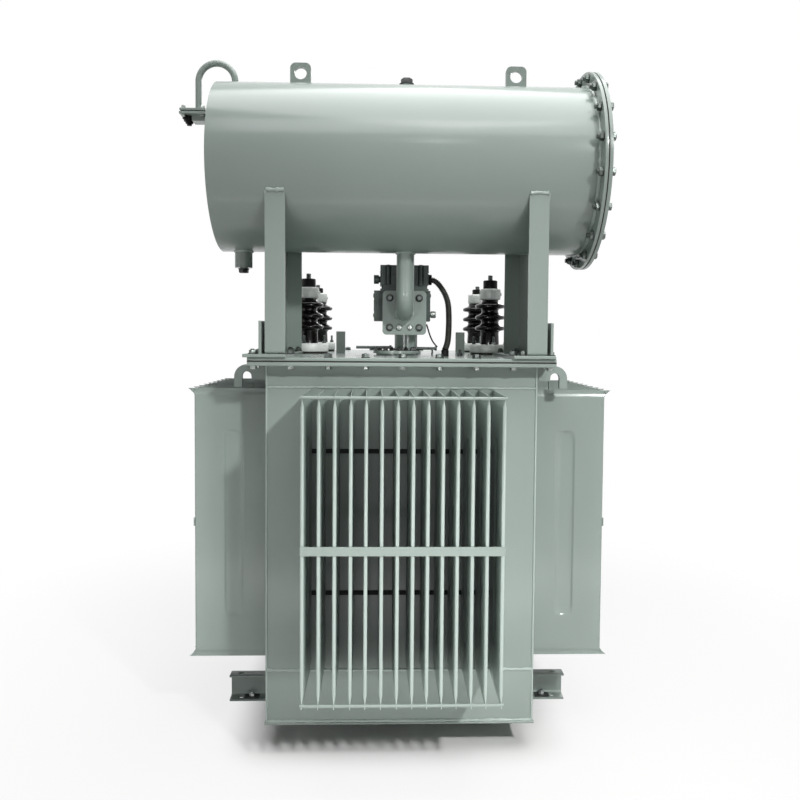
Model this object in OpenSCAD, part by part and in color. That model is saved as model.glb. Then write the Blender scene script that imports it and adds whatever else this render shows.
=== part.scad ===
// Step voltage regulator: an oil tank cooled by pressed fins on all four sides, two channels
// under it, four bushings on its cover, and a conservator carried over its front end.
// The origin is on the ground under the middle of the tank. The front faces -Y.

/* [Tank] */
// Width of the tank over its side walls
tank_w = 970; // [940:10:1000]
// Depth of the tank over its front and rear walls
tank_d = 1440; // [1400:10:1480]
// Height of the tank's top edge above the ground
tank_top = 1432; // [1420:2:1450]
// Thickness of the wall plates
wall_t = 6; // [5:1:10]
// How far the rim and the cover stand out beyond the walls
rim_out = 60; // [50:1:70]
// Thickness of the rim
rim_t = 14; // [10:1:18]
// Thickness of the cover's gasket
gasket_t = 4; // [3:1:6]
// Thickness of the cover
cover_t = 12; // [10:1:16]

/* [Fins] */
// How far a fin stands out from its wall
fin_d = 295; // [260:5:320]
// Thickness of a fin
fin_t = 12; // [9:1:14]
// Height of a fin on the front and rear walls
fin_h = 1026; // [980:2:1050]
// Height of a fin on the side walls
side_fin_h = 1028; // [980:2:1050]
// Height above the ground of the front and rear fins' lower ends
fin_z = 308; // [270:2:350]
// Height above the ground of the side fins' lower ends
side_fin_z = 296; // [270:2:350]
// Number of fins on the front and rear walls
fin_n = 14; // [8:1:14]
// Number of fins on each side wall, counted from the front
side_fin_n = 9; // [6:1:14]
// Spacing of the fins on the front and rear walls
fin_pitch_w = 50.5; // [40:0.5:52]
// Spacing of the fins on the side walls
fin_pitch_d = 85; // [60:1:86]

/* [Base] */
// Height of a base channel
chan_h = 108; // [100:2:140]
// Width of a base channel's flanges
chan_w = 53; // [45:1:60]
// Length of the base channels
chan_l = 1400; // [1300:10:1440]
// Distance between the two rows of bolt holes
gauge = 550; // [500:10:600]
// Distance between the bolt holes along a channel
bolt_span = 1310; // [1220:10:1310]

/* [Conservator] */
// Outside diameter of the conservator
con_dia = 625; // [600:5:660]
// Length of its shell
con_l = 1378; // [1300:2:1440]
// Distance of its axis behind the tank's front wall
con_back = 223; // [200:1:260]
// Height of its axis above the ground
con_z = 2156; // [2130:2:2210]
// How far its fittings sit to the right of the tank's middle
con_x = 14; // [0:2:30]
// Depth of the two saddle brackets that carry it
saddle_d = 572; // [540:4:600]
// Width of a saddle bracket's flanges
saddle_w = 70; // [60:5:90]

/* [Relay] */
// Height of the gas relay's pipe axis above the ground
relay_z = 1618; // [1608:2:1638]
// Outside diameter of the pipe that feeds the relay
pipe_dia = 68; // [60:1:72]

/* [Bushings] */
// Distance between the left and right bushings
bush_w = 786; // [760:2:800]
// Distance between the front and rear bushings
bush_d = 484; // [470:2:500]
// How far the bushings' middle sits behind the tank's middle
bush_back = 128; // [128:2:160]
// Diameter of the front bushings' sheds
front_shed_dia = 128; // [120:2:140]
// Diameter of the rear bushings' sheds, on thicker stems
rear_shed_dia = 142; // [130:2:150]

/* [Hidden] */
$fn = 64;

enamel = [0.55, 0.61, 0.58];
dark_casting = [0.2, 0.24, 0.22];
black = [0.05, 0.05, 0.06];
aluminium = [0.75, 0.77, 0.77];
rubber = [0.08, 0.08, 0.08];

// Heights of the tank's levels
floor_t = 8;
cover_z = tank_top + gasket_t;
cover_top = cover_z + cover_t;

// Fin details: the noses' flare at each end, the flat lips and the slopes beside them
fin_flare = 16;
side_fin_flare = 24;
side_fin_first = -552;
fin_lip_t = 3;
fin_lip_h = 10;
fin_slope_h = 34;
dimple_w = 66;
dimple_h = 712;
dimple_deep = 2;
flat_bar_h = 30;
flat_bar_rise = 5;
flat_bar_t = 4;
rod_dia = 11;

// Base channel section: its web, its flanges' toes and roots, and the fillet between them
chan_web_t = 6;
chan_toe_t = 7;
chan_root_t = 11;
chan_fillet = 9;
base_hole_dia = 22;

// Lifting hooks on the tank's corners: the outer limb reaches lower than the inner one
hook_w = 130;
hook_h = 84;
hook_t = 20;
hook_corner = 46;
hook_inner_h = 55;
hook_limb_w = 29;
hook_notch_w = 38;
hook_notch_r = 17;
hook_crown = 26;
hook_inset = 100;

// Conservator details
con_r = con_dia / 2;
con_y = con_back - tank_d / 2;
con_left = -684;
con_right = con_left + con_l;
con_t = 6;
con_flange_r = con_r + 55;
con_flange_t = 12;
con_joint_t = 4;

// Saddles and their feet
saddle_out = 496;
saddle_t = 10;
saddle_corner = 10;
foot_t = 12;
foot_top = cover_top + foot_t;
foot_in = 400;
foot_out = 550;
foot_shift = -9;
foot_l = 590;
upstand_gap = 12;
upstand_t = 10;
upstand_h = 116;
upstand_l = 572;

// Fittings on the conservator
lug_w = 78;
lug_t = 20;
lug_h = 86;
lug_corner = 20;
lug_hole_dia = 46;
lug_hole_h = 47;
left_lug_x = con_x - 402;
right_lug_x = con_x + 417;
sump_x = con_left + 80;

// Breather: an arched pipe outside the conservator's left end, over a bolted flange
breather_x = con_left - 102;
breather_dia = 25;
breather_r = 70;
breather_back = 60;
breather_y = con_y + breather_back;
breather_z = con_z + con_r + 30;
breather_foot = con_z + con_r - 83;
breather_flange_w = 100;
breather_flange_t = 9;
breather_joint_t = 4;
breather_lower = breather_foot - 2 * breather_flange_t - breather_joint_t;

// Pipes to and from the relay: each station is a distance behind the conservator's axis
elbow_r = 70;
pipe_stub = 25;
pipe_flange_w = 174;
relay_flange_w = 168;
relay_flange_t = 12;
pipe_flange_y = con_y + elbow_r + pipe_stub;
relay_y0 = pipe_flange_y + relay_flange_t;
relay_l = 176;
relay_y1 = relay_y0 + relay_l;
riser_y = relay_y1 + relay_flange_t + 12 + elbow_r;
riser_out = 14;
riser_dia = 98;
riser_foot_dia = 130;

// Relay body and the head above it, as a stack of levels: height, then how far it steps in
relay_half_w = 74;
relay_low = 52;
window_z = relay_z - 32;
window_h = 122;
head_z = relay_z + 85;
head_w = 194;
head_l = 150;
head_levels = [[0, 12, 0], [12, 28, 5], [28, 72, 0], [72, 80, 4], [80, 106, 0]];
head_boss_x = 65;
head_boss_dia = 24;
gland_z = head_z + 51;
gland_y = relay_y0 + 60;

// Bushing levels above the cover, and the radii of the two kinds of stem at the clamp
bush_gasket_t = 9;
bush_clamp_top = 44;
bush_body_top = 238;
bush_cap_top = 284;
bush_clamp_r = 86;
bush_foot_out = 12;
shed_levels = [112, 159, 207];
stem_taper = 0.16;
front_stem_r = 37;
rear_stem_r = 48;

// Conduit from the relay head down to a stub on the cover in front of the relay
conduit_dia = 24;
conduit_foot = [con_x + 159, relay_y0 - 66, cover_top + 24];
conduit_route = [
    [con_x + head_w / 2 + 14, gland_y, gland_z + 1],
    [con_x + 133, gland_y - 3, gland_z - 11],
    [con_x + 154, gland_y - 10, gland_z - 38],
    [con_x + 171, gland_y - 16, gland_z - 65],
    [con_x + 177, gland_y - 26, gland_z - 98],
    [con_x + 179, gland_y - 44, gland_z - 143],
    [con_x + 177, gland_y - 70, gland_z - 196],
    [con_x + 171, gland_y - 102, gland_z - 247],
    conduit_foot
];

// Earth wire from the relay body down to a handhole clamp on the cover
wire_dia = 6;
wire_route = [
    [con_x + 92, gland_y, relay_z - 44],
    [con_x + 98, gland_y + 4, relay_z - 62],
    [con_x + 108, gland_y + 20, relay_z - 90],
    [con_x + 122, gland_y + 45, relay_z - 116],
    [con_x + 140, gland_y + 68, relay_z - 136]
];

// Handhole cover under the relay, and the clamp bars beside it
handhole_x = con_x - 32;
handhole_y = -300;
handhole_dia = 184;
clamp_y = -262;
clamp_z = cover_top + 27;

// ---- shared shapes -------------------------------------------------------------------------

// A box given by its low corner and its high corner
module span(low, high) {
    translate(low) cube(high - low);
}

// A rod along Y from the point p
module rod_y(p, d, length) {
    translate(p) rotate([-90, 0, 0]) cylinder(d = d, h = length);
}

// A rod along X from the point p
module rod_x(p, d, length) {
    translate(p) rotate([0, 90, 0]) cylinder(d = d, h = length);
}

// A quarter of a pipe bend round the Z axis, from +X to +Y
module quarter_bend(r, d) {
    rotate_extrude(angle = 90) translate([r, 0]) circle(d = d);
}

// A rectangle in the plane of X and Y with rounded corners, centred on the origin
module rounded_rect(w, h, r) {
    square([w - 2 * r, h], center = true);
    square([w, h - 2 * r], center = true);
    for (x = [-1, 1], y = [-1, 1])
        translate([x * (w / 2 - r), y * (h / 2 - r)]) circle(r);
}

// A square plate with rounded corners that stands across the relay's axis, its front face at y
module upright_plate(y, w) {
    corner = 16;
    translate([con_x, y + relay_flange_t, relay_z]) rotate([90, 0, 0])
        linear_extrude(relay_flange_t) rounded_rect(w, w, corner);
}

// A list of points in reverse order, mirrored across the X axis or the Y axis
function flipped(points) =
    [for (i = [len(points) - 1:-1:0]) [points[i][0], -points[i][1]]];
function mirrored(points) =
    [for (i = [len(points) - 1:-1:0]) [-points[i][0], points[i][1]]];

// A tube swept along a list of points
function unit(v) = v / norm(v);
function heading(path, i) =
    unit(path[min(i + 1, len(path) - 1)] - path[max(i - 1, 0)]);
function ring(path, i, r, sides) =
    let (t = heading(path, i), u = unit(cross(t, [0, 1, 0.2])), v = cross(t, u))
    [for (k = [0:sides - 1]) path[i] + r * (cos(360 * k / sides) * u + sin(360 * k / sides) * v)];
// The points between two route points, on a curve that passes smoothly through both
function between(path, i, steps) =
    let (a = path[max(i - 1, 0)], b = path[i], c = path[i + 1], d = path[min(i + 2, len(path) - 1)])
    [for (k = [0:steps - 1]) let (s = k / steps)
        0.5 * (2 * b + (c - a) * s + (2 * a - 5 * b + 4 * c - d) * s * s
            + (3 * b - a - 3 * c + d) * s * s * s)];
function smooth(path, steps) =
    concat([for (i = [0:len(path) - 2]) for (p = between(path, i, steps)) p], [path[len(path) - 1]]);

module swept_tube(path, dia, sides) {
    n = len(path);
    points = [for (i = [0:n - 1]) for (p = ring(path, i, dia / 2, sides)) p];
    walls = [for (i = [0:n - 2]) for (k = [0:sides - 1])
        let (a = i * sides + k, b = i * sides + (k + 1) % sides) [a, b, b + sides, a + sides]];
    ends = [[for (k = [sides - 1:-1:0]) k], [for (k = [0:sides - 1]) (n - 1) * sides + k]];
    polyhedron(points, concat(walls, ends));
}

// ---- base ----------------------------------------------------------------------------------

// Half of the hollow side of a channel's section: a sloping flange and the fillet at its root
function channel_hollow() =
    let (root = chan_h / 2 - chan_root_t)
    concat([[-chan_w - 1, chan_h / 2 - chan_toe_t]],
        [for (a = [90:-15:0])
            [chan_fillet * (cos(a) - 1) - chan_web_t, chan_fillet * (sin(a) - 1) + root]]);

// A rolled channel along X, its web at y = 0 and its flanges towards -Y, drilled near its ends
module base_channel() {
    hollow = channel_hollow();
    difference() {
        translate([-chan_l / 2, 0, chan_h / 2]) rotate([90, 0, 90]) linear_extrude(chan_l) difference() {
            translate([-chan_w, -chan_h / 2]) square([chan_w, chan_h]);
            polygon(concat(hollow, flipped(hollow)));
        }
        for (x = [-1, 1])
            translate([x * bolt_span / 2, -chan_w / 2, -1]) cylinder(d = base_hole_dia, h = chan_h + 2);
    }
}

module front_base_channel() {
    color(enamel) translate([0, -gauge / 2 + chan_w / 2, 0]) base_channel();
}

module rear_base_channel() {
    color(enamel) mirror([0, 1, 0]) translate([0, -gauge / 2 + chan_w / 2, 0]) base_channel();
}

// ---- tank ----------------------------------------------------------------------------------

// The floor plate stands a little proud of the walls, for the weld
module tank_floor() {
    lip = 8;
    color(enamel)
        span([-tank_w / 2 - lip, -tank_d / 2 - lip, chan_h],
            [tank_w / 2 + lip, tank_d / 2 + lip, chan_h + floor_t]);
}

module end_wall() {
    span([-tank_w / 2, -tank_d / 2, chan_h + floor_t], [tank_w / 2, -tank_d / 2 + wall_t, tank_top]);
}

module side_wall() {
    span([-tank_w / 2, -tank_d / 2 + wall_t, chan_h + floor_t],
        [-tank_w / 2 + wall_t, tank_d / 2 - wall_t, tank_top]);
}

module tank_front_wall() {
    color(enamel) end_wall();
}

module tank_rear_wall() {
    color(enamel) mirror([0, 1, 0]) end_wall();
}

module tank_left_wall() {
    color(enamel) side_wall();
}

module tank_right_wall() {
    color(enamel) mirror([1, 0, 0]) side_wall();
}

// A flat frame around the tank's mouth, from the walls' faces outwards
module mouth_frame(inner_w, inner_d, z, t) {
    difference() {
        span([-tank_w / 2 - rim_out, -tank_d / 2 - rim_out, z],
            [tank_w / 2 + rim_out, tank_d / 2 + rim_out, z + t]);
        span([-inner_w / 2, -inner_d / 2, z - 1], [inner_w / 2, inner_d / 2, z + t + 1]);
    }
}

module tank_rim() {
    color(enamel) mouth_frame(tank_w, tank_d, tank_top - rim_t, rim_t);
}

module cover_gasket() {
    inner = 2 * wall_t;
    color(rubber) mouth_frame(tank_w - inner, tank_d - inner, tank_top, gasket_t);
}

module tank_cover() {
    color(enamel)
        span([-tank_w / 2 - rim_out, -tank_d / 2 - rim_out, cover_z],
            [tank_w / 2 + rim_out, tank_d / 2 + rim_out, cover_top]);
}

// ---- fins ----------------------------------------------------------------------------------

// Half of a fin's section across its thickness, from its foot to its head: flat lips, then
// slopes up to the full thickness
function fin_section(h) =
    let (lip = fin_lip_t / 2, full = fin_t / 2, z1 = fin_lip_h, z2 = z1 + fin_slope_h)
    [[lip, 0], [lip, z1], [full, z2], [full, h - z2], [lip, h - z1], [lip, h]];

// An oblong press mark in one face of a fin
module dimple() {
    straight = dimple_h - dimple_w;
    rotate([90, 0, 0]) linear_extrude(dimple_deep + 1) {
        square([dimple_w, straight], center = true);
        for (s = [-1, 1]) translate([0, s * straight / 2]) circle(d = dimple_w);
    }
}

// One pressed fin of height h, standing out along +X from x = 0, with its foot at z = 0
module fin(h, flare) {
    section = fin_section(h);
    tip_h = 26;
    difference() {
        intersection() {
            rotate([90, 0, 90]) linear_extrude(fin_d) polygon(concat(section, mirrored(section)));
            union() {
                span([0, -fin_t / 2, 0], [fin_d - fin_t / 2, fin_t / 2, h]);
                translate([fin_d - fin_t / 2, 0, 0]) cylinder(d = fin_t, h = h);
            }
        }
        translate([fin_d / 2, -fin_t / 2 + dimple_deep, h / 2]) dimple();
        translate([fin_d / 2, fin_t / 2 + 1, h / 2]) dimple();
    }
    // The lips run out to points at the nose
    for (low = [true, false])
        translate([0, fin_lip_t / 2, 0]) rotate([90, 0, 0]) linear_extrude(fin_lip_t)
            polygon(low
                ? [[fin_d - 20, 0], [fin_d + flare, 0], [fin_d, tip_h], [fin_d - 20, tip_h]]
                : [[fin_d - 20, h], [fin_d - 20, h - tip_h], [fin_d, h - tip_h], [fin_d + flare, h]]);
}

// A row of fins along a wall whose face is at x = 0, the first of them at y = first
module fin_bank(first, count, pitch, h, flare) {
    for (i = [0:count - 1]) translate([0, first + i * pitch, 0]) fin(h, flare);
}

// The bars that tie a bank's noses: a rod near each end and a flat bar at mid height
module bank_bars(first, count, pitch, h) {
    middle = h / 2 + flat_bar_rise;
    start = first - fin_t / 2;
    reach = (count - 1) * pitch + fin_t;
    for (z = [rod_dia / 2 + 2, h - rod_dia / 2 - 2])
        rod_y([fin_d + rod_dia / 2, start, z], rod_dia, reach);
    span([fin_d, start, middle - flat_bar_h / 2],
        [fin_d + flat_bar_t, start + reach, middle + flat_bar_h / 2]);
}

module front_bank() {
    translate([0, 0, fin_z]) fin_bank(-(fin_n - 1) / 2 * fin_pitch_w, fin_n, fin_pitch_w, fin_h, fin_flare);
}

module side_bank() {
    translate([0, 0, side_fin_z])
        fin_bank(side_fin_first, side_fin_n, fin_pitch_d, side_fin_h, side_fin_flare);
}

module on_front() {
    translate([0, -tank_d / 2, 0]) rotate([0, 0, -90]) children();
}

module on_right() {
    translate([tank_w / 2, 0, 0]) children();
}

module front_fins() {
    color(enamel) on_front() front_bank();
}

module rear_fins() {
    color(enamel) mirror([0, 1, 0]) on_front() front_bank();
}

module left_fins() {
    color(enamel) mirror([1, 0, 0]) on_right() side_bank();
}

module right_fins() {
    color(enamel) on_right() side_bank();
}

module front_and_rear_fin_bars() {
    color(enamel) for (m = [0, 1]) mirror([0, m, 0]) on_front() translate([0, 0, fin_z])
        bank_bars(-(fin_n - 1) / 2 * fin_pitch_w, fin_n, fin_pitch_w, fin_h);
}

module side_fin_bars() {
    color(enamel) for (m = [0, 1]) mirror([m, 0, 0]) on_right() translate([0, 0, side_fin_z])
        bank_bars(side_fin_first, side_fin_n, fin_pitch_d, side_fin_h);
}

// ---- lifting hooks -------------------------------------------------------------------------

// A thick plate standing out from the right wall, rounded at its outer top corner, with a
// round-topped notch open at the bottom for the sling
module lifting_hook() {
    notch_out = hook_w - hook_limb_w;
    notch_z = hook_h - hook_crown - hook_notch_r;
    translate([tank_w / 2, -tank_d / 2 + hook_inset, tank_top - rim_t - hook_h])
        rotate([90, 0, 0]) linear_extrude(hook_t) difference() {
            union() {
                square([hook_w - hook_corner, hook_h]);
                square([hook_w, hook_h - hook_corner]);
                intersection() {
                    square([hook_w, hook_h]);
                    translate([hook_w - hook_corner, hook_h - hook_corner]) circle(hook_corner);
                }
            }
            translate([-1, -1]) square([notch_out - hook_notch_w + 1, hook_h - hook_inner_h + 1]);
            polygon([[notch_out, -1], [notch_out, notch_z], [notch_out - 2 * hook_notch_r, notch_z],
                [notch_out - hook_notch_w, -1]]);
            translate([notch_out - hook_notch_r, notch_z]) circle(hook_notch_r);
        }
}

module right_lifting_hooks() {
    color(enamel) for (m = [0, 1]) mirror([0, m, 0]) lifting_hook();
}

module left_lifting_hooks() {
    color(enamel) mirror([1, 0, 0]) for (m = [0, 1]) mirror([0, m, 0]) lifting_hook();
}

// ---- conservator ---------------------------------------------------------------------------

module conservator_shell() {
    color(enamel) difference() {
        rod_x([con_left, con_y, con_z], con_dia, con_l);
        rod_x([con_left - 1, con_y, con_z], con_dia - 2 * con_t, con_l + 2);
    }
}

// A flat plate let into the shell's left end
module conservator_left_end() {
    color(enamel) rod_x([con_left + 4, con_y, con_z], con_dia - 2 * con_t, con_t);
}

// A ring welded round the shell's right end
module conservator_flange() {
    color(enamel) difference() {
        rod_x([con_right - con_flange_t, con_y, con_z], 2 * con_flange_r, con_flange_t);
        rod_x([con_right - con_flange_t - 1, con_y, con_z], con_dia, con_flange_t + 2);
    }
}

module conservator_gasket() {
    color(rubber) difference() {
        rod_x([con_right, con_y, con_z], 2 * con_flange_r - 6, con_joint_t);
        rod_x([con_right - 1, con_y, con_z], con_dia - 2 * con_t, con_joint_t + 2);
    }
}

module conservator_cover() {
    color(enamel) rod_x([con_right + con_joint_t, con_y, con_z], 2 * con_flange_r, con_flange_t);
}

// A bent plate with its web on the outer side and a flange at the front and the rear, cut to
// the round of the shell above it
module saddle() {
    top = con_z - con_r / 3;
    inner = saddle_out - saddle_w;
    difference() {
        translate([inner, con_y, foot_top]) rotate([90, 0, 90]) linear_extrude(saddle_w) {
            translate([-saddle_d / 2, saddle_corner]) square([saddle_d, top - foot_top - saddle_corner]);
            translate([-saddle_d / 2 + saddle_corner, 0])
                square([saddle_d - 2 * saddle_corner, saddle_corner]);
            for (s = [-1, 1])
                translate([s * (saddle_d / 2 - saddle_corner), saddle_corner]) circle(saddle_corner);
        }
        span([inner - 1, con_y - saddle_d / 2 + saddle_t, foot_top - 1],
            [saddle_out - saddle_t, con_y + saddle_d / 2 - saddle_t, top + 1]);
        rod_x([0, con_y, con_z], con_dia, con_l / 2);
    }
}

module left_saddle() {
    color(enamel) translate([con_x, 0, 0]) mirror([1, 0, 0]) saddle();
}

module right_saddle() {
    color(enamel) translate([con_x, 0, 0]) saddle();
}

// A plate on the cover with an upstand beside each saddle's web, bolted to it over spacers
module saddle_feet() {
    color(enamel) for (s = [-1, 1]) {
        plate_x = (s < 0 ? -foot_out : foot_in) + foot_shift;
        web = con_x + s * (saddle_out + upstand_gap);
        span([plate_x, con_y - foot_l / 2, cover_top],
            [plate_x + foot_out - foot_in, con_y + foot_l / 2, foot_top]);
        span([min(web, web + s * upstand_t), con_y - upstand_l / 2, foot_top],
            [max(web, web + s * upstand_t), con_y + upstand_l / 2, foot_top + upstand_h]);
    }
}

// Upright plates on the shell's crown, each with a round hole for a shackle
module conservator_lifting_lugs() {
    color(enamel) for (x = [left_lug_x, right_lug_x]) difference() {
        translate([x, con_y + lug_t / 2, con_z + con_r]) rotate([90, 0, 0]) linear_extrude(lug_t) {
            translate([-lug_w / 2, -1]) square([lug_w, lug_h - lug_corner + 1]);
            translate([0, lug_h / 2]) rounded_rect(lug_w, lug_h, lug_corner);
        }
        rod_x([x - lug_w, con_y, con_z], con_dia, 2 * lug_w);
        rod_y([x, con_y - lug_t, con_z + con_r + lug_hole_h], lug_hole_dia, 2 * lug_t);
    }
}

// A collar on the crown with a hexagonal plug in it
module filler_plug() {
    collar_dia = 60;
    collar_h = 12;
    plug_dia = 40;
    plug_h = 20;
    crown = con_z + con_r;
    color(enamel) difference() {
        union() {
            translate([con_x, con_y, crown - collar_h]) cylinder(d = collar_dia, h = 2 * collar_h);
            translate([con_x, con_y, crown + collar_h]) cylinder(d = plug_dia, h = plug_h, $fn = 6);
        }
        rod_x([con_x - collar_dia, con_y, con_z], con_dia, 2 * collar_dia);
    }
}

// A short pot under the shell's left end, closed by a smaller plug
module drain_sump() {
    sump_dia = 66;
    sump_h = 62;
    plug_dia = 31;
    plug_h = 18;
    sump_z = con_z - con_r - sump_h;
    color(enamel) difference() {
        union() {
            translate([sump_x, con_y, sump_z]) cylinder(d = sump_dia, h = sump_h + plug_h);
            translate([sump_x, con_y, sump_z - plug_h]) cylinder(d = plug_dia, h = plug_h);
        }
        rod_x([sump_x - sump_dia, con_y, con_z], con_dia, 2 * sump_dia);
    }
}

// ---- breather ------------------------------------------------------------------------------

// A pipe that rises from the shell, arches over its end and comes down outside it
module breather_pipe() {
    arch_x = breather_x + breather_r;
    shell_top = con_z + sqrt(con_r * con_r - breather_back * breather_back);
    let_in = 12;
    overlap = 0.5;
    color(enamel) difference() {
        union() {
            translate([arch_x, breather_y, breather_z]) rotate([90, 0, 0]) {
                quarter_bend(breather_r, breather_dia);
                rotate([0, 0, 90]) quarter_bend(breather_r, breather_dia);
            }
            translate([breather_x, breather_y, breather_foot])
                cylinder(d = breather_dia, h = breather_z - breather_foot + overlap);
            translate([arch_x + breather_r, breather_y, shell_top - let_in])
                cylinder(d = breather_dia, h = breather_z - shell_top + let_in + overlap);
        }
        rod_x([con_left, con_y, con_z], con_dia, con_l);
    }
}

// The pipe's foot flange, the one bolted under it, the joint between them and the bracket that
// carries both on the shell's end
module breather_flanges() {
    half = breather_flange_w / 2;
    bracket_w = 60;
    bracket_h = 22;
    joint_in = 8;
    x0 = breather_x - 64;
    x1 = x0 + breather_flange_w;
    joint_z = breather_foot - breather_flange_t - breather_joint_t;
    color(enamel) difference() {
        union() {
            span([x0 + 2, breather_y - half, joint_z + breather_joint_t],
                [x1, breather_y + half, breather_foot]);
            span([x0 + joint_in, breather_y - half + joint_in, joint_z],
                [x1 - joint_in, breather_y + half - joint_in, joint_z + breather_joint_t]);
            span([x0, breather_y - half, breather_lower], [x1, breather_y + half, joint_z]);
            span([x0 + 44, breather_y - bracket_w / 2, breather_lower - bracket_h],
                [con_left, breather_y + bracket_w / 2, breather_lower]);
        }
        rod_x([con_left, con_y, con_z], con_dia, con_l);
    }
}

// A stepped plug that closes the lower flange until the breather is fitted
module breather_plug() {
    // Each step's diameter, and how far below the flange it starts and ends
    steps = [[52, 0, 8], [42, 8, 17], [30, 17, 25], [19, 25, 33]];
    color(black) translate([breather_x - 36, breather_y, breather_lower]) mirror([0, 0, 1])
        for (step = steps) translate([0, 0, step[1]]) cylinder(d = step[0], h = step[2] - step[1]);
}

// ---- gas relay -----------------------------------------------------------------------------

// The pipe from the shell's bottom, its elbow and its flange
module conservator_pipe() {
    bend_z = relay_z + elbow_r;
    color(enamel) {
        difference() {
            translate([con_x, con_y, bend_z]) cylinder(d = pipe_dia, h = con_z - con_r - bend_z + 20);
            rod_x([con_x - pipe_dia, con_y, con_z], con_dia, 2 * pipe_dia);
        }
        translate([con_x, con_y + elbow_r, bend_z]) rotate([0, 90, 0]) rotate([0, 0, -90])
            quarter_bend(elbow_r, pipe_dia);
        rod_y([con_x, con_y + elbow_r, relay_z], pipe_dia, pipe_stub);
        upright_plate(pipe_flange_y, pipe_flange_w);
    }
}

// A casting with a flange at each end and a window housing on each side
module relay_body() {
    housing_l = relay_l - 60;
    left_out = 122;
    right_out = 105;
    color(dark_casting) {
        for (y = [relay_y0, relay_y1 - relay_flange_t]) upright_plate(y, relay_flange_w);
        span([con_x - relay_half_w, relay_y0 + relay_flange_t - 0.5, relay_z - relay_low],
            [con_x + relay_half_w, relay_y1 - relay_flange_t + 0.5, head_z]);
        span([con_x - left_out, relay_y0 + (relay_l - housing_l) / 2, window_z],
            [con_x + right_out, relay_y0 + (relay_l + housing_l) / 2, window_z + window_h]);
    }
}

// The terminal box on the body: a foot, a box and a lid, with a screw boss near each corner and
// a blind gland on the left
module relay_head() {
    blind_dia = 36;
    blind_l = 26;
    neck_dia = 26;
    mid_y = relay_y0 + relay_l / 2;
    top = head_levels[len(head_levels) - 1][1];
    color(dark_casting) {
        for (level = head_levels)
            translate([con_x, mid_y, head_z + level[0]]) linear_extrude(level[1] - level[0])
                rounded_rect(head_w - 2 * level[2], head_l - 2 * level[2], 6);
        for (x = [-1, 1], y = [-1, 1])
            translate([con_x + x * head_boss_x, mid_y + y * (head_l / 2 - 4), head_z + 28])
                cylinder(d = head_boss_dia, h = top - 28);
        rod_x([con_x - head_w / 2 - blind_l, gland_y, gland_z], blind_dia, blind_l - 6);
        rod_x([con_x - head_w / 2 - blind_l + 5, gland_y, gland_z], neck_dia, blind_l);
    }
}

// The pipe from the relay's rear flange down to the cover
module relay_riser() {
    bend_z = relay_z - elbow_r;
    flange_y = relay_y1 + relay_flange_t;
    foot_h = 14;
    color(enamel) {
        upright_plate(relay_y1, pipe_flange_w);
        translate([con_x + riser_out, 0, 0]) {
            rod_y([0, flange_y - 1, relay_z], riser_dia, riser_y - elbow_r - flange_y + 1);
            translate([0, riser_y - elbow_r, bend_z]) rotate([0, -90, 0])
                quarter_bend(elbow_r, riser_dia);
            translate([0, riser_y, cover_top]) cylinder(d = riser_dia, h = bend_z - cover_top);
            translate([0, riser_y, cover_top]) cylinder(d = riser_foot_dia, h = foot_h);
        }
    }
}

module signal_conduit() {
    color(black) swept_tube(smooth(conduit_route, 4), conduit_dia, 12);
}

// A gland at each end of the conduit: a nut on the head and a stub on the cover
module conduit_glands() {
    color(black) {
        rod_x([con_x + head_w / 2, gland_y, gland_z], 42, 14);
        translate([conduit_foot[0], conduit_foot[1], cover_top])
            cylinder(d = 29, h = conduit_foot[2] - cover_top);
    }
}

module signal_wire() {
    color(black) swept_tube(smooth(wire_route, 3), wire_dia, 8);
}

// ---- bushings ------------------------------------------------------------------------------

// Puts its children on the cover at the front or the rear pair of bushings
module at_bushings(ends) {
    for (x = [-1, 1], y = ends)
        translate([x * bush_w / 2, bush_back + y * bush_d / 2, cover_top]) children();
}

module bushing_gaskets() {
    color(rubber) at_bushings([-1, 1]) cylinder(r = bush_clamp_r - 4, h = bush_gasket_t);
}

// A round casting that holds the insulator's foot down, with a hole for its stem
module bushing_clamp(stem_r) {
    lid_t = 8;
    difference() {
        translate([0, 0, bush_gasket_t]) cylinder(r = bush_clamp_r, h = bush_clamp_top - bush_gasket_t);
        cylinder(r = stem_r + bush_foot_out, h = bush_clamp_top - lid_t);
        cylinder(r = stem_r + 1, h = bush_clamp_top + 1);
    }
}

module bushing_clamps() {
    color(aluminium) {
        at_bushings([-1]) bushing_clamp(front_stem_r);
        at_bushings([1]) bushing_clamp(rear_stem_r);
    }
}

// The radius of a stem at a height above the cover
function stem(foot_r, z) =
    foot_r * (1 - stem_taper * (z - bush_clamp_top) / (bush_body_top - bush_clamp_top));

// One shed of an insulator's section: flat below, sloping above, with a rounded edge
function shed(foot_r, r, z) =
    [[stem(foot_r, z), z - 8], [r - 6, z - 7], [r - 1, z - 4], [r, z - 1], [r - 2, z + 2],
        [stem(foot_r, z) + 8, z + 10], [stem(foot_r, z), z + 17]];

// A glazed insulator: a foot under the clamp, a tapering stem and three sheds
module insulator(foot_r, shed_r) {
    clear = 9;
    outline = concat(
        [[0, bush_gasket_t], [foot_r + bush_foot_out, bush_gasket_t],
            [foot_r + bush_foot_out, bush_clamp_top - clear], [foot_r, bush_clamp_top - clear]],
        [for (z = shed_levels) for (p = shed(foot_r, shed_r, z)) p],
        [[stem(foot_r, bush_body_top), bush_body_top], [0, bush_body_top]]);
    rotate_extrude() polygon(outline);
}

module bushing_insulators() {
    color(black) {
        at_bushings([-1]) insulator(front_stem_r, front_shed_dia / 2);
        at_bushings([1]) insulator(rear_stem_r, rear_shed_dia / 2);
    }
}

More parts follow.
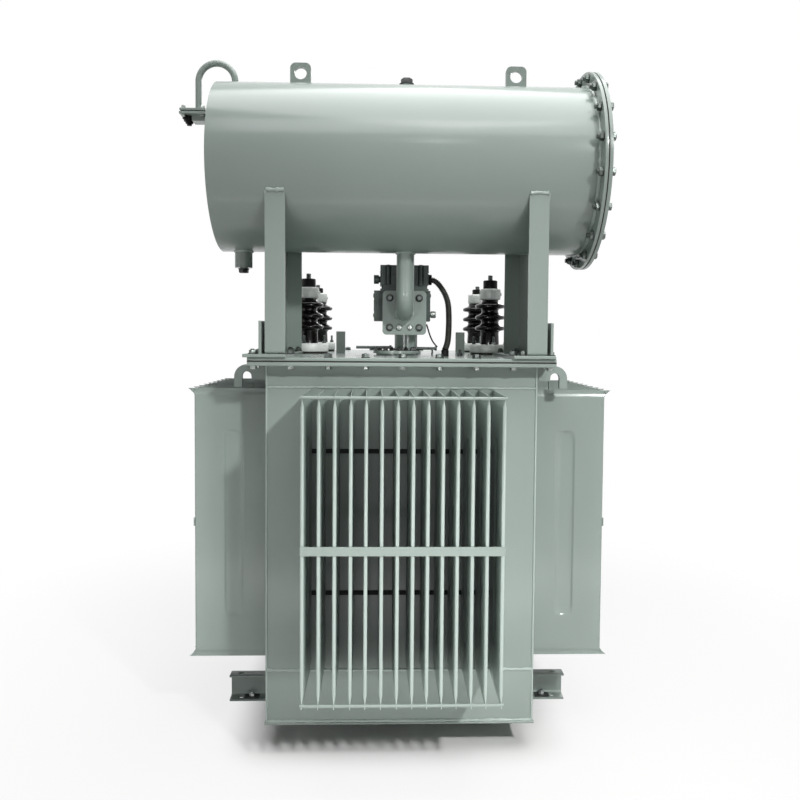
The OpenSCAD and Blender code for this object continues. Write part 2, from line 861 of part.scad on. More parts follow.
// A round cap with a collar that grips the stem's head
module bushing_caps() {
    cap_dia = 90;
    color(aluminium) at_bushings([-1, 1]) translate([0, 0, bush_body_top])
        cylinder(d = cap_dia, h = bush_cap_top - bush_body_top);
}

// A nut on the cap and the end of the stud that stands above it
module terminal(nut_dia, nut_h, stud_dia, stud_h) {
    translate([0, 0, bush_cap_top]) {
        cylinder(d = nut_dia, h = nut_h, $fn = 6);
        translate([0, 0, nut_h]) cylinder(d = stud_dia, h = stud_h);
    }
}

module bushing_terminals() {
    color(black) {
        at_bushings([-1]) terminal(62, 37, 22, 23);
        at_bushings([1]) terminal(50, 25, 20, 16);
    }
}

// ---- fittings on the cover -----------------------------------------------------------------

// Two upright plates that the cover is lifted by
module cover_lugs() {
    lug_x = 267;
    off_centre = 7;
    color(enamel) for (s = [-1, 1])
        translate([off_centre + s * lug_x, 0, cover_top]) span([-20, -6, 0], [20, 6, 96]);
}

// A round plate over a hole in the cover, on a narrower ring
module handhole_cover() {
    ring_h = 7;
    plate_t = 11;
    color(enamel) translate([handhole_x, handhole_y, cover_top]) {
        cylinder(d = handhole_dia - 24, h = ring_h);
        translate([0, 0, ring_h]) cylinder(d = handhole_dia, h = plate_t);
    }
}

// A bar along X from the point p, with a collar at its far end
module clamp_bar(p, length, dia, collar_dia) {
    collar_w = 9;
    rod_x(p, dia, length);
    rod_x([p[0] + length, p[1], p[2]], collar_dia, collar_w);
}

// The bars that press the handhole cover down, one on each side of it: each is held by a post
module handhole_clamps() {
    post_dia = 8;
    color(enamel) {
        clamp_bar([handhole_x - 164, clamp_y, clamp_z + 3], 138, 12, 18);
        translate([handhole_x - 36, clamp_y, cover_top])
            cylinder(d = post_dia, h = clamp_z + 3 - cover_top);
        clamp_bar([handhole_x + 88, clamp_y, clamp_z], 74, 12, 18);
        translate([handhole_x + 152, clamp_y, cover_top])
            cylinder(d = post_dia, h = clamp_z - cover_top);
    }
}

front_base_channel();
rear_base_channel();
tank_floor();
tank_front_wall();
tank_rear_wall();
tank_left_wall();
tank_right_wall();
tank_rim();
cover_gasket();
tank_cover();
front_fins();
rear_fins();
left_fins();
right_fins();
front_and_rear_fin_bars();
side_fin_bars();
left_lifting_hooks();
right_lifting_hooks();
conservator_shell();
conservator_left_end();
conservator_flange();
conservator_gasket();
conservator_cover();
left_saddle();
right_saddle();
saddle_feet();
conservator_lifting_lugs();
filler_plug();
drain_sump();
breather_pipe();
breather_flanges();
breather_plug();
conservator_pipe();
relay_body();
relay_head();
relay_riser();
signal_conduit();
conduit_glands();
signal_wire();
bushing_gaskets();
bushing_clamps();
bushing_insulators();
bushing_caps();
bushing_terminals();
cover_lugs();
handhole_cover();
handhole_clamps();
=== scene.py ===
import math
import random

import bmesh
import bpy
from mathutils import Matrix, Vector


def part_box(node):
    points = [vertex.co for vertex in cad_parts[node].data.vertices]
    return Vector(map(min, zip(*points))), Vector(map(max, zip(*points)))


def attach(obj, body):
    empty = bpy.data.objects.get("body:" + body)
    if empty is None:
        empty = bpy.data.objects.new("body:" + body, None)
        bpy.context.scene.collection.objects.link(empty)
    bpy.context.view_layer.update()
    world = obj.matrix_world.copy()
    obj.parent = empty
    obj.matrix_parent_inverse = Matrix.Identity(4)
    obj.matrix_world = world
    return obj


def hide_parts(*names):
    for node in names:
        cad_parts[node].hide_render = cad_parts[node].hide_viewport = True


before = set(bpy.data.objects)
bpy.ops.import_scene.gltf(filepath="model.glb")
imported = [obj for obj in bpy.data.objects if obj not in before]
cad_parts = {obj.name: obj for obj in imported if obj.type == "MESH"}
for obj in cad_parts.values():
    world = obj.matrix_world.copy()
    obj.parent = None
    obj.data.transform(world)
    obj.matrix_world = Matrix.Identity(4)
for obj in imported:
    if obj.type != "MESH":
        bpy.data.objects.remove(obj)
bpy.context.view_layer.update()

# ---- base channels ----------------------------------------------------------
# Two rolled steel channels lie across under the tank, their flanges turned outwards and drilled
# for the foundation bolts. They are sprayed with the tank in one coat of grey-green enamel.
UP = (0, 0, 1)


class Reading:
    """A value that a shader node gives, which adds and multiplies like a number."""

    def __init__(self, finish, socket):
        self.finish = finish
        self.socket = socket

    def maths(self, operation, *others):
        values = dict(enumerate((self, *others)))
        return self.finish.node("Math", {"operation": operation}, values)

    def __add__(self, other):
        return self.maths("ADD", other)

    def __sub__(self, other):
        return self.maths("SUBTRACT", other)

    def __mul__(self, other):
        return self.maths("MULTIPLY", other)

    def between(self, low, high):
        """0 at low, 1 at high, and a smooth rise from one to the other."""
        wanted = {"Value": self, "From Min": low, "From Max": high}
        return self.finish.node("MapRange", {"interpolation_type": "SMOOTHSTEP"}, wanted)


class Finish:
    """A material or a world, with one way to add a node: its type, settings and inputs."""

    def __init__(self, name, store=bpy.data.materials):
        self.owner = store.new(name)
        self.owner.use_nodes = True
        self.tree = self.owner.node_tree
        self.tree.nodes.clear()

    def node(self, kind, settings=None, inputs=None, output=0):
        made = self.tree.nodes.new("ShaderNode" + kind)
        for key, value in (settings or {}).items():
            setattr(made, key, value)
        for key, value in (inputs or {}).items():
            if isinstance(value, Reading):
                self.tree.links.new(value.socket, made.inputs[key])
            else:
                made.inputs[key].default_value = value
        return Reading(self, made.outputs[output]) if len(made.outputs) else None

    def place(self):
        """Where a point of the surface is, in metres, in the part's own frame."""
        return self.node("TexCoord", output="Object")

    def axis(self, letter):
        return self.node("SeparateXYZ", inputs={0: self.place()}, output=letter)

    def noise(self, size, detail=3.0, stretch=(1, 1, 1)):
        """Cloudy noise whose patches are about size metres across."""
        mapped = self.node("Mapping", inputs={"Vector": self.place(), "Scale": stretch})
        wanted = {"Vector": mapped, "Scale": 1 / size, "Detail": detail}
        return self.node("TexNoise", inputs=wanted)

    def blend(self, amount, first, second):
        """A colour between two, by an amount from 0 to 1."""
        factor, colour_a, colour_b, colour_out = 0, 6, 7, 2
        wanted = {factor: amount, colour_a: first, colour_b: second}
        return self.node("Mix", {"data_type": "RGBA"}, wanted, output=colour_out)

    def relief(self, height, depth, strength=1.0, over=None):
        """A bumpy surface whose height from 0 to 1 stands for depth metres, laid over another."""
        wanted = {"Height": height, "Distance": depth, "Strength": strength}
        if over is not None:
            wanted["Normal"] = over
        return self.node("Bump", inputs=wanted)

    def skin(self, **sockets):
        """The surface shader, its inputs named with underscores for spaces."""
        wanted = {key.replace("_", " "): value for key, value in sockets.items()}
        return self.node("BsdfPrincipled", inputs=wanted)

    def done(self, shader, kind="OutputMaterial"):
        self.node(kind, inputs={"Surface": shader})
        return self.owner


def tone(red, green, blue):
    """A colour written in 0 to 255 as it looks, turned into the linear one that light needs."""
    def linear(level):
        level /= 255
        return level / 12.92 if level <= 0.04045 else ((level + 0.055) / 1.055) ** 2.4
    return (linear(red), linear(green), linear(blue), 1)


def scaled(colour, amount):
    """A linear colour made darker or paler by an amount, and never brighter than white."""
    return tuple(min(1.0, amount * level) for level in colour[:3]) + (1,)


def enamel_finish(name, base, gloss, sweep=1.0, wave=0.0012):
    """Sprayed gloss enamel over steel plate: orange peel, slow waves and a little dust.

    The waves are wave metres high. They run long in X where sweep is less than 1, as on a
    shell rolled about that line. A low gloss value is shiny.
    """
    finish = Finish(name)
    clouds = finish.noise(0.6, 2.0).between(0.2, 0.8)
    dust = finish.noise(0.005, 2.0).between(0.68, 0.80)
    colour = finish.blend(clouds, scaled(base, 0.95), scaled(base, 1.03))
    colour = finish.blend(dust * 0.10, colour, tone(96, 104, 98))
    waves = finish.relief(finish.noise(0.20, 1.0, stretch=(sweep, 1, 1)), wave)
    peel = finish.relief(finish.noise(0.004, 2.0), 0.00008, strength=0.4, over=waves)
    rough = finish.noise(0.08, 2.0) * 0.08 + (gloss - 0.04)
    return finish.done(finish.skin(Base_Color=colour, Roughness=rough, Normal=peel))


def steel_finish(name, base, rough, metal):
    """Bolts and washers: worn plating, a little duller and darker in patches."""
    finish = Finish(name)
    patches = finish.noise(0.006, 3.0)
    colour = finish.blend(patches.between(0.35, 0.75), base, scaled(base, 0.6))
    scratched = finish.relief(finish.noise(0.0015, 2.0), 0.0001)
    return finish.done(finish.skin(
        Base_Color=colour, Metallic=metal, Roughness=patches * 0.2 + (rough - 0.1),
        Normal=scratched))


ENAMEL = enamel_finish("grey_green_enamel", tone(143, 155, 149), 0.20)
ZINC = steel_finish("zinc_plated_steel", (0.38, 0.41, 0.39, 1), 0.42, 1.0)
DULL_STEEL = steel_finish("oiled_black_steel", (0.045, 0.050, 0.047, 1), 0.42, 0.5)
draw = random.Random(11)
SAME_POINT = 0.00005
SHARP_EDGE = math.radians(40)


def dress(material, *nodes, edge=0.0):
    """Gives CAD nodes their finish, and rounds their sharp edges where edge is more than 0."""
    for name in nodes:
        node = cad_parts[name]
        node.data.materials.clear()
        node.data.materials.append(material)
        if edge > 0:
            weld = node.modifiers.new("weld", "WELD")
            weld.merge_threshold = SAME_POINT
            bevel = node.modifiers.new("edges", "BEVEL")
            bevel.width = edge
            bevel.segments = 2
            bevel.limit_method = "ANGLE"
            bevel.angle_limit = SHARP_EDGE
            node.modifiers.new("shading", "WEIGHTED_NORMAL")


def turns(count, offset=0.0):
    """Even turns round a circle in radians, the first of them offset steps on from zero."""
    return [2 * math.pi * (k + offset) / count for k in range(count)]


def circle(middle, radius, side, other, count, twist=0.0):
    """Points round a circle that lies along the two directions side and other."""
    return [middle + radius * (math.cos(turn + twist) * side + math.sin(turn + twist) * other)
            for turn in turns(count)]


class Piece:
    """A mesh put together from turned, lofted and boxed shapes, in metres in the part's frame."""

    THREAD_PITCH = 0.0025
    THREAD_SUNK = 0.001      # how far down in its nut a modelled thread starts
    NUT_CORNER = 0.87        # from a nut's middle to its corner, for a thread of size 1
    BEAD_SIDES = 8

    def __init__(self):
        self.mesh = bmesh.new()

    def loft(self, rings, around=True):
        """Faces from each ring of points to the next, and over the first and the last ring."""
        rows = [[self.mesh.verts.new(point) for point in ring] for ring in rings]
        count = len(rows[0])
        for low, high in zip(rows, rows[1:]):
            for i in range(count if around else count - 1):
                j = (i + 1) % count
                self.mesh.faces.new((low[i], low[j], high[j], high[i]))
        self.mesh.faces.new(rows[0][::-1])
        self.mesh.faces.new(rows[-1])

    def slab(self, low, high):
        corners = [(low[0], low[1]), (high[0], low[1]), (high[0], high[1]), (low[0], high[1])]
        self.loft([[(x, y, z) for x, y in corners] for z in (low[2], high[2])])

    def turned(self, foot, along, profile, sides, twist=0.0):
        """A shape turned about a line from foot, its profile a list of radius and height."""
        along = Vector(along).normalized()
        side = along.orthogonal().normalized()
        other = along.cross(side)
        self.loft([circle(Vector(foot) + along * height, radius, side, other, sides, twist)
                   for radius, height in profile])

    def disc(self, foot, along, radius, thick, sides=20):
        """A plain round washer or plate."""
        self.turned(foot, along, [(radius, 0), (radius, thick)], sides=sides)

    def nut(self, foot, along, size, height):
        """A hexagon for a thread of that size, its top corners turned off."""
        corner = self.NUT_CORNER * size
        self.turned(foot, along, [(corner, 0), (corner, 0.8 * height), (0.86 * corner, height)],
                    sides=6, twist=draw.uniform(0, 1))

    def thread(self, foot, along, size, length):
        """The end of a stud, with its turns of thread and a turned tip."""
        crests = max(2, int(length / self.THREAD_PITCH))
        profile = []
        for k in range(crests):
            profile += [(0.50 * size, k * length / crests),
                        (0.45 * size, (k + 0.5) * length / crests)]
        self.turned(foot, along, profile + [(0.50 * size, 0.95 * length), (0.38 * size, length)],
                    sides=12)

    def stud(self, foot, along, nut, end=None):
        """A nut, given as thread and height, on a stud, given as thread and length shown."""
        self.nut(foot, along, *nut)
        if end:
            start = Vector(foot) + Vector(along) * (nut[1] - self.THREAD_SUNK)
            self.thread(start, along, *end)

    def bead(self, points, radius, lump):
        """A weld bead along the points, its thickness wandering by lump as it was laid."""
        rings = []
        for i, point in enumerate(points):
            ahead = Vector(points[min(i + 1, len(points) - 1)]) - Vector(points[max(i - 1, 0)])
            side = ahead.normalized().orthogonal().normalized()
            if rings and side.dot(last) < 0:
                side = -side
            last = side
            size = radius * (1 + draw.uniform(-lump, lump))
            other = ahead.normalized().cross(side)
            rings.append(circle(Vector(point), size, side, other, self.BEAD_SIDES))
        self.loft(rings)

    def made(self, name, material, slot=None, replaces=(), sharp=35):
        """The finished piece, riding on the body, in place of the CAD nodes that it replaces."""
        bmesh.ops.recalc_face_normals(self.mesh, faces=self.mesh.faces)
        data = bpy.data.meshes.new(name)
        self.mesh.to_mesh(data)
        self.mesh.free()
        data.polygons.foreach_set("use_smooth", [True] * len(data.polygons))
        data.set_sharp_from_angle(angle=math.radians(sharp))
        data.materials.append(material)
        piece = bpy.data.objects.new(name, data)
        bpy.context.collection.objects.link(piece)
        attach(piece, "root")
        if replaces:
            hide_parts(*replaces)
        return piece


dress(ENAMEL, "front_base_channel", "rear_base_channel", edge=0.0015)

BASE_BOLT_X = 0.610
BASE_FLANGE_TOP = 0.0095
BASE_WASHER_HALF = (0.030, 0.020)
BASE_WASHER_UNDER, BASE_WASHER_OVER = 0.002, 0.003
channel_bolts, channel_washers = Piece(), Piece()
for name in ("front_base_channel", "rear_base_channel"):
    low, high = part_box(name)
    for side in (-1, 1):
        seat = Vector((side * BASE_BOLT_X, (low.y + high.y) / 2, low.z + BASE_FLANGE_TOP))
        channel_washers.slab(seat - Vector((*BASE_WASHER_HALF, BASE_WASHER_UNDER)),
                             seat + Vector((*BASE_WASHER_HALF, BASE_WASHER_OVER)))
        channel_bolts.stud(seat + Vector((0, 0, BASE_WASHER_OVER)), UP,
                           nut=(0.014, 0.011), end=(0.014, 0.009))
channel_bolts.made("channel_bolts", ZINC)
channel_washers.made("channel_washers", DULL_STEEL)

# ---- tank walls -------------------------------------------------------------
# The tank is welded from plates. The finned panels are let into its walls along level seams,
# and every seam shows as a thin ridge of weld under the enamel.
dress(ENAMEL, "tank_floor", edge=0.0035)
dress(ENAMEL, "tank_front_wall", "tank_rear_wall", "tank_left_wall", "tank_right_wall")
# The welds take the tank's enamel painted paler, a painted highlight that makes the beads read
# bright, and glossier so that they catch the lamps.
HIGHLIGHT_PALE_WELD_ENAMEL = enamel_finish("weld_enamel_painted_paler", tone(168, 181, 175), 0.14, wave=0.0003)


def line(start, end, step):
    """Points along a straight line, about a step apart."""
    start, end = Vector(start), Vector(end)
    count = max(2, int((end - start).length / step))
    return [start.lerp(end, k / count) for k in range(count + 1)]


def shaken(points, amount):
    """The same points, each a little higher or lower, as a hand moves along a seam."""
    return [point + Vector((0, 0, draw.uniform(-amount, amount))) for point in points]


tank_low, tank_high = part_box("tank_front_wall")
tank_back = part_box("tank_rear_wall")[1].y
floor_top = tank_low.z
wall_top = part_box("tank_rim")[0].z
fins_low, fins_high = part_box("front_fins")
SEAM_STEP, SEAM_INSET, SEAM_SHAKE = 0.011, 0.003, 0.0008
SIDE_SEAM_SUNK = 0.0015
tank_welds = Piece()
for x in (tank_low.x, tank_high.x):
    for y in (tank_low.y, tank_back):
        tank_welds.bead(line((x, y, floor_top), (x, y, wall_top), 0.02), 0.0040, 0.06)
for z, thick, lump in ((floor_top + 0.003, 0.0055, 0.30), (fins_low.z + 0.001, 0.0050, 0.35),
                       (fins_high.z + 0.006, 0.0040, 0.35)):
    for y in (tank_low.y, tank_back):
        run = line((tank_low.x + SEAM_INSET, y, z), (tank_high.x - SEAM_INSET, y, z), SEAM_STEP)
        tank_welds.bead(shaken(run, SEAM_SHAKE), thick, lump)
    for x in (tank_low.x + SIDE_SEAM_SUNK, tank_high.x - SIDE_SEAM_SUNK):
        run = line((x, tank_low.y + SEAM_INSET, z), (x, tank_back - SEAM_INSET, z), SEAM_STEP)
        tank_welds.bead(shaken(run, SEAM_SHAKE), thick, lump)
tank_welds.made("tank_welds", HIGHLIGHT_PALE_WELD_ENAMEL, slot="enamel", sharp=60)

# ---- cooling fins -----------------------------------------------------------
# Each fin is a flat pocket pressed from thin sheet and welded shut. Its ends are pinched flat
# and flare out at the nose, and a long oblong mark is pressed into each face.
# The front and rear fins take the tank's enamel painted paler: painted light, standing in for the
# extra light that their rounded noses and sides catch from the lamps.
PALE_LIT_FIN_ENAMEL = enamel_finish("fin_enamel_painted_paler", tone(164, 177, 171), 0.24, wave=0.0003)
FIN_DEPTH = 0.295
FIN_HALF = 0.006             # half a fin's thickness
FIN_LIP = 0.0015             # half the thickness of its pinched ends
NOSE_BULGE = 0.0011          # how much thicker than the fin its rolled nose is, on each side
PINCH_START = 0.010          # the fin is flat up to here from either end
FLARE_REACH = 0.026          # and its nose flares out over this
FLARE_CURVE = 1.6
NOSE_CUTS = 6
PINCH_CUTS = 6
MARK_HALF_W = 0.033
MARK_HALF_H = 0.323
MARK_DEEP = 0.0054
MARK_WALL = (MARK_HALF_W - 0.005, MARK_HALF_W + 0.004)    # where the mark's side slopes
MARK_CUTS = (0.014, 0.028, 0.031, 0.034, 0.037, 0.041)    # cuts through it, from its middle


def smooth_step(low, high, value):
    part = min(1.0, max(0.0, (value - low) / (high - low)))
    return part * part * (3 - 2 * part)


def fin(piece, root, out, height, flare, pinch, lean):
    """One fin that stands out from its wall along out, with its foot at root.

    Its ends open from flat to full thickness over the height pinch, and their noses stand
    further out by flare. The nose is off to one side by lean, where the weld has drawn it.
    """
    out = Vector(out)
    across = Vector(UP).cross(out)
    middle, half = FIN_DEPTH / 2, height / 2
    spans = [0, 0.02, 0.06, 0.095] + [middle - cut for cut in reversed(MARK_CUTS)]
    spans += [middle] + [middle + cut for cut in MARK_CUTS] + [0.21, 0.25]
    opening = pinch - PINCH_START
    ends = [0, 0.003, 0.007]
    ends += [PINCH_START + opening * k / PINCH_CUTS for k in range(PINCH_CUTS + 1)]
    ends += [0.052, 0.075, 0.11]
    marks = [0.1, 0.2, 0.28, MARK_HALF_H] + [MARK_HALF_H + cut for cut in MARK_CUTS]
    levels = ends + [half - mark for mark in reversed(marks)]
    levels += [half] + [half + mark for mark in marks] + [height - end for end in reversed(ends)]
    rings = []
    for z in levels:
        near = min(z, height - z)
        opened = smooth_step(PINCH_START, pinch, near)
        thick = FIN_LIP + (FIN_HALF - FIN_LIP) * opened
        bulge = thick + NOSE_BULGE * opened
        nose = FIN_DEPTH - bulge + flare * max(0.0, 1 - near / FLARE_REACH) ** FLARE_CURVE
        beyond = max(0.0, abs(z - half) - MARK_HALF_H)
        face = []
        for span in spans + [nose]:
            away = math.hypot(span - middle, beyond)
            face.append((span, thick - MARK_DEEP * (1 - smooth_step(*MARK_WALL, away))))
        outline = list(face)
        for k in range(1, NOSE_CUTS):
            turn = math.pi * k / NOSE_CUTS
            outline.append((nose + bulge * math.sin(turn), bulge * math.cos(turn)))
        outline += [(span, -thickness) for span, thickness in reversed(face)]
        rings.append([root + out * s + across * (t + lean * s / FIN_DEPTH) + Vector((0, 0, z))
                      for s, t in outline])
    piece.loft(rings, around=False)


def bank(name, material, out, first, step, flare, pinch, leans):
    """A row of fins in place of a CAD node, from the point first on and a step apart."""
    low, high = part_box(name)
    piece = Piece()
    for k, lean in enumerate(leans):
        root = Vector(first) + Vector(step) * k
        root.z = low.z
        fin(piece, root, out, high.z - low.z, flare, pinch, lean)
    piece.made(name + "_pressed", material, slot="enamel", replaces=[name], sharp=50)


def small_leans(count):
    return [draw.uniform(-0.003, 0.003) for k in range(count)]


END_FINS, SIDE_FINS = 14, 9
end_first = fins_low.x + FIN_HALF
end_step = (fins_high.x - fins_low.x - 2 * FIN_HALF) / (END_FINS - 1)
front_leans = [0.001 * lean for lean in (0, 3, 4, 6, 5, 6, 7, 7, 5, 3, 1, 0, -2, -1)]
# The front and rear banks wear the paler enamel, painted light; the side banks keep the tank's
# own.
for name, out, wall in (("front_fins", -1, tank_low.y), ("rear_fins", 1, tank_back)):
    leans = front_leans if out < 0 else small_leans(END_FINS)
    bank(name, PALE_LIT_FIN_ENAMEL, (0, out, 0), first=(end_first, wall, 0), step=(end_step, 0, 0),
         flare=0.016, pinch=0.044, leans=leans)
side_low, side_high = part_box("left_fins")
side_first = side_low.y + FIN_HALF
side_step = (side_high.y - side_low.y - 2 * FIN_HALF) / (SIDE_FINS - 1)
for name, out, wall in (("left_fins", -1, tank_low.x), ("right_fins", 1, tank_high.x)):
    bank(name, ENAMEL, (out, 0, 0), first=(wall, side_first, 0), step=(0, side_step, 0),
         flare=0.024, pinch=0.028, leans=small_leans(SIDE_FINS))

# ---- painted rod shadows ----------------------------------------------------
# Two thin black bars lie level along each finned wall, deep between the fins. They are painted
# shadows, standing where the top fin rod and the mid-height flat bar cast their shade on the wall.
PAINTED_SHADOW_BLACK = steel_finish("painted_rod_shadow_black", (0.012, 0.016, 0.014, 1), 0.60, 0.0)
# Each strap below is a painted shadow bar, not a steel part.
SHADOW_BAR_GAP = 0.004            # from the middle of a fin to the end of a strap
SHADOW_BAR_HALF_T, SHADOW_BAR_HALF_H = 0.004, 0.008
painted_shadow_bars = Piece()
for y in (tank_low.y, tank_back):
    for z in (0.595, 1.111):
        for k in range(END_FINS - 1):
            left = end_first + k * end_step + SHADOW_BAR_GAP
            painted_shadow_bars.slab((left, y - SHADOW_BAR_HALF_T, z - SHADOW_BAR_HALF_H),
                        (left + end_step - 2 * SHADOW_BAR_GAP, y + SHADOW_BAR_HALF_T, z + SHADOW_BAR_HALF_H))
painted_shadow_bars.made("painted_rod_shadows", PAINTED_SHADOW_BLACK)

# ---- fin bars ---------------------------------------------------------------
# Round rods near the ends of the fins and a flat bar at mid height hold the noses in line. A
# small dab of weld holds each nose to them.
dress(ENAMEL, "front_and_rear_fin_bars", "side_fin_bars", edge=0.001)
ROD_INSET = 0.0075           # from a fin's end to the middle of the rod
DAB_ASIDE = 0.0062           # from the middle of a fin to the dab
DAB_SUNK = 0.001
bar_welds = Piece()


def dab(x, y, z, reach):
    bar_welds.bead(line((x, y, z - reach), (x, y, z + reach), 0.003), 0.0022, 0.4)


nose_y = tank_low.y - FIN_DEPTH
for k in range(END_FINS):
    x = end_first + k * end_step + front_leans[k]
    for z, reach in ((fins_low.z + ROD_INSET, 0.0045), (fins_high.z - ROD_INSET, 0.0045),
                     ((fins_low.z + fins_high.z) / 2, 0.010)):
        for y in (nose_y - DAB_SUNK, DAB_SUNK - nose_y):
            dab(x + DAB_ASIDE, y, z, reach)
nose_out = FIN_DEPTH + DAB_SUNK
for k in range(SIDE_FINS):
    y = side_first + k * side_step
    for z in (side_low.z + ROD_INSET, side_high.z - ROD_INSET, (side_low.z + side_high.z) / 2):
        for x in (tank_low.x - nose_out, tank_high.x + nose_out):
            dab(x, y + DAB_ASIDE, z, 0.006)
bar_welds.made("fin_bar_welds", HIGHLIGHT_PALE_WELD_ENAMEL, slot="enamel", sharp=60)

# ---- lifting hooks ----------------------------------------------------------
# Four thick plates are flame cut with a notch for the sling. They are welded on edge to the
# side walls, under the rim.
dress(ENAMEL, "left_lifting_hooks", "right_lifting_hooks", edge=0.002)
HOOK_T = 0.020
hook_welds = Piece()
for name, wall in (("left_lifting_hooks", tank_low.x), ("right_lifting_hooks", tank_high.x)):
    low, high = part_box(name)
    for y in (low.y, low.y + HOOK_T, high.y - HOOK_T, high.y):
        run = line((wall, y, high.z - 0.055), (wall, y, high.z - 0.002), 0.006)
        hook_welds.bead(run, 0.004, 0.25)
hook_welds.made("hook_welds", HIGHLIGHT_PALE_WELD_ENAMEL, slot="enamel", sharp=60)

# ---- rim, gasket and cover --------------------------------------------------
# The cover is bolted down all round over a flat cork and rubber gasket: bright heads below the
# rim, nuts on washers above the cover.
WORN_STEEL = steel_finish("weathered_steel", (0.150, 0.172, 0.160, 1), 0.36, 1.0)
gasket = Finish("cork_rubber")
grain = gasket.noise(0.003, 3.0)
GASKET = gasket.done(gasket.skin(
    Base_Color=gasket.blend(grain.between(0.4, 0.7), tone(28, 27, 25), tone(52, 47, 40)),
    Roughness=0.8, Normal=gasket.relief(grain, 0.0003)))
dress(GASKET, "cover_gasket", "conservator_gasket", "bushing_gaskets")
dress(ENAMEL, "tank_rim", "tank_cover", edge=0.002)


def bolted(nuts, washers, seat, along, washer, nut, end=None, sides=20):
    """A round washer on the seat, given as radius and thickness, and a nut and stud on it."""
    washers.disc(seat, along, *washer, sides=sides)
    nuts.stud(Vector(seat) + Vector(along) * washer[1], along, nut, end)


cover_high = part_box("tank_cover")[1]
feet_low, feet_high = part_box("saddle_feet")
cover_top = cover_high.z
DOWN = (0, 0, -1)
FOOT_T = 0.012               # the saddles' foot plates lie on the cover, under their nuts
FOOT_INNER_X = 0.39
GAPS_X, GAPS_Y = 8, 12       # between the bolts along the cover's ends and along its sides
row_x = cover_high.x - 0.020
row_y = cover_high.y - 0.022
seats = [(-row_x + k * 2 * row_x / GAPS_X, y)
         for k in range(GAPS_X + 1) for y in (-row_y, row_y)]
seats += [(x, -row_y + k * 2 * row_y / GAPS_Y)
          for k in range(1, GAPS_Y) for x in (-row_x, row_x)]
cover_nuts, cover_washers, cover_bolts = Piece(), Piece(), Piece()
for x, y in seats:
    on_foot = feet_low.y - 0.01 < y < feet_high.y + 0.01 and abs(x) > FOOT_INNER_X
    top = cover_top + (FOOT_T if on_foot else 0.0)
    bolted(cover_nuts, cover_washers, (x, y, top), UP,
           washer=(0.0155, 0.003), nut=(0.0165, 0.011), end=(0.012, 0.003))
    bolted(cover_bolts, cover_bolts, (x, y, wall_top), DOWN,
           washer=(0.0120, 0.0025), nut=(0.0135, 0.010))
cover_nuts.made("cover_nuts", WORN_STEEL)
cover_washers.made("cover_washers", DULL_STEEL)
cover_bolts.made("cover_bolts", ZINC)

# ---- saddles and feet -------------------------------------------------------
# Two bent channels of thick plate carry the conservator, welded to the shell along their cut
# rounds. Each stands on a foot plate with an upstand, bolted down through the cover.
dress(ENAMEL, "left_saddle", "right_saddle", edge=0.003)
dress(ENAMEL, "saddle_feet", edge=0.002)
shell_low, shell_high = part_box("conservator_shell")
shell_r = (shell_high.z - shell_low.z) / 2
shell_y = (shell_low.y + shell_high.y) / 2
shell_z = (shell_low.z + shell_high.z) / 2


def under_shell(y):
    """How high the shell's underside is at y."""
    return shell_z - math.sqrt(shell_r ** 2 - (y - shell_y) ** 2)


FOOT_BOLT = {"washer": (0.015, 0.003), "nut": (0.014, 0.011), "end": (0.014, 0.005)}
FOOT_BOLT_X = (0.527, 0.425)
WEB_BOLT_Y = (-0.745, -0.25)
WEB_BOLT_IN = 0.028          # from the web's outer face to the bolts inside it
CUT_STEPS = 80
saddle_welds, foot_nuts, foot_washers = Piece(), Piece(), Piece()
for name, side in (("left_saddle", -1), ("right_saddle", 1)):
    low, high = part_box(name)
    for y in (low.y, high.y):
        touch = under_shell(y)
        run = line((low.x + 0.003, y, touch), (high.x - 0.003, y, touch), 0.007)
        saddle_welds.bead(shaken(run, 0.0015), 0.0075, 0.28)
    web = low.x if side < 0 else high.x
    cut = [low.y + (high.y - low.y) * k / CUT_STEPS for k in range(CUT_STEPS + 1)]
    saddle_welds.bead([(web, y, under_shell(y) - 0.002) for y in cut], 0.005, 0.25)
    seats = [(side * x, y) for y in (feet_low.y + 0.022, feet_high.y - 0.022)
             for x in FOOT_BOLT_X]
    seats += [(web - side * WEB_BOLT_IN, y) for y in WEB_BOLT_Y]
    for x, y in seats:
        bolted(foot_nuts, foot_washers, (x, y, low.z), UP, **FOOT_BOLT)
saddle_welds.made("saddle_welds", HIGHLIGHT_PALE_WELD_ENAMEL, slot="enamel", sharp=60)
foot_nuts.made("foot_nuts", WORN_STEEL)
foot_washers.made("foot_washers", DULL_STEEL)

# ---- conservator ------------------------------------------------------------
# The shell is rolled from plate and welded, with a flat plate let into its left end and a flange
# round its right end. A blank cover is bolted to the flange over a gasket with eighteen bolts.
SHELL_ENAMEL = enamel_finish("rolled_shell_enamel", tone(143, 155, 149), 0.19,
                             sweep=0.2, wave=0.0006)
dress(SHELL_ENAMEL, "conservator_shell")
dress(ENAMEL, "conservator_left_end")
dress(ENAMEL, "conservator_flange", "conservator_cover", edge=0.0015)
flange_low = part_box("conservator_flange")[0]
blank_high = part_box("conservator_cover")[1]


def full_circle(count):
    """Turns right round a circle, the last of them back at the start."""
    return turns(count) + [2 * math.pi]


def around_shell(x, radius, count):
    return [(x, shell_y + radius * math.sin(turn), shell_z + radius * math.cos(turn))
            for turn in full_circle(count)]


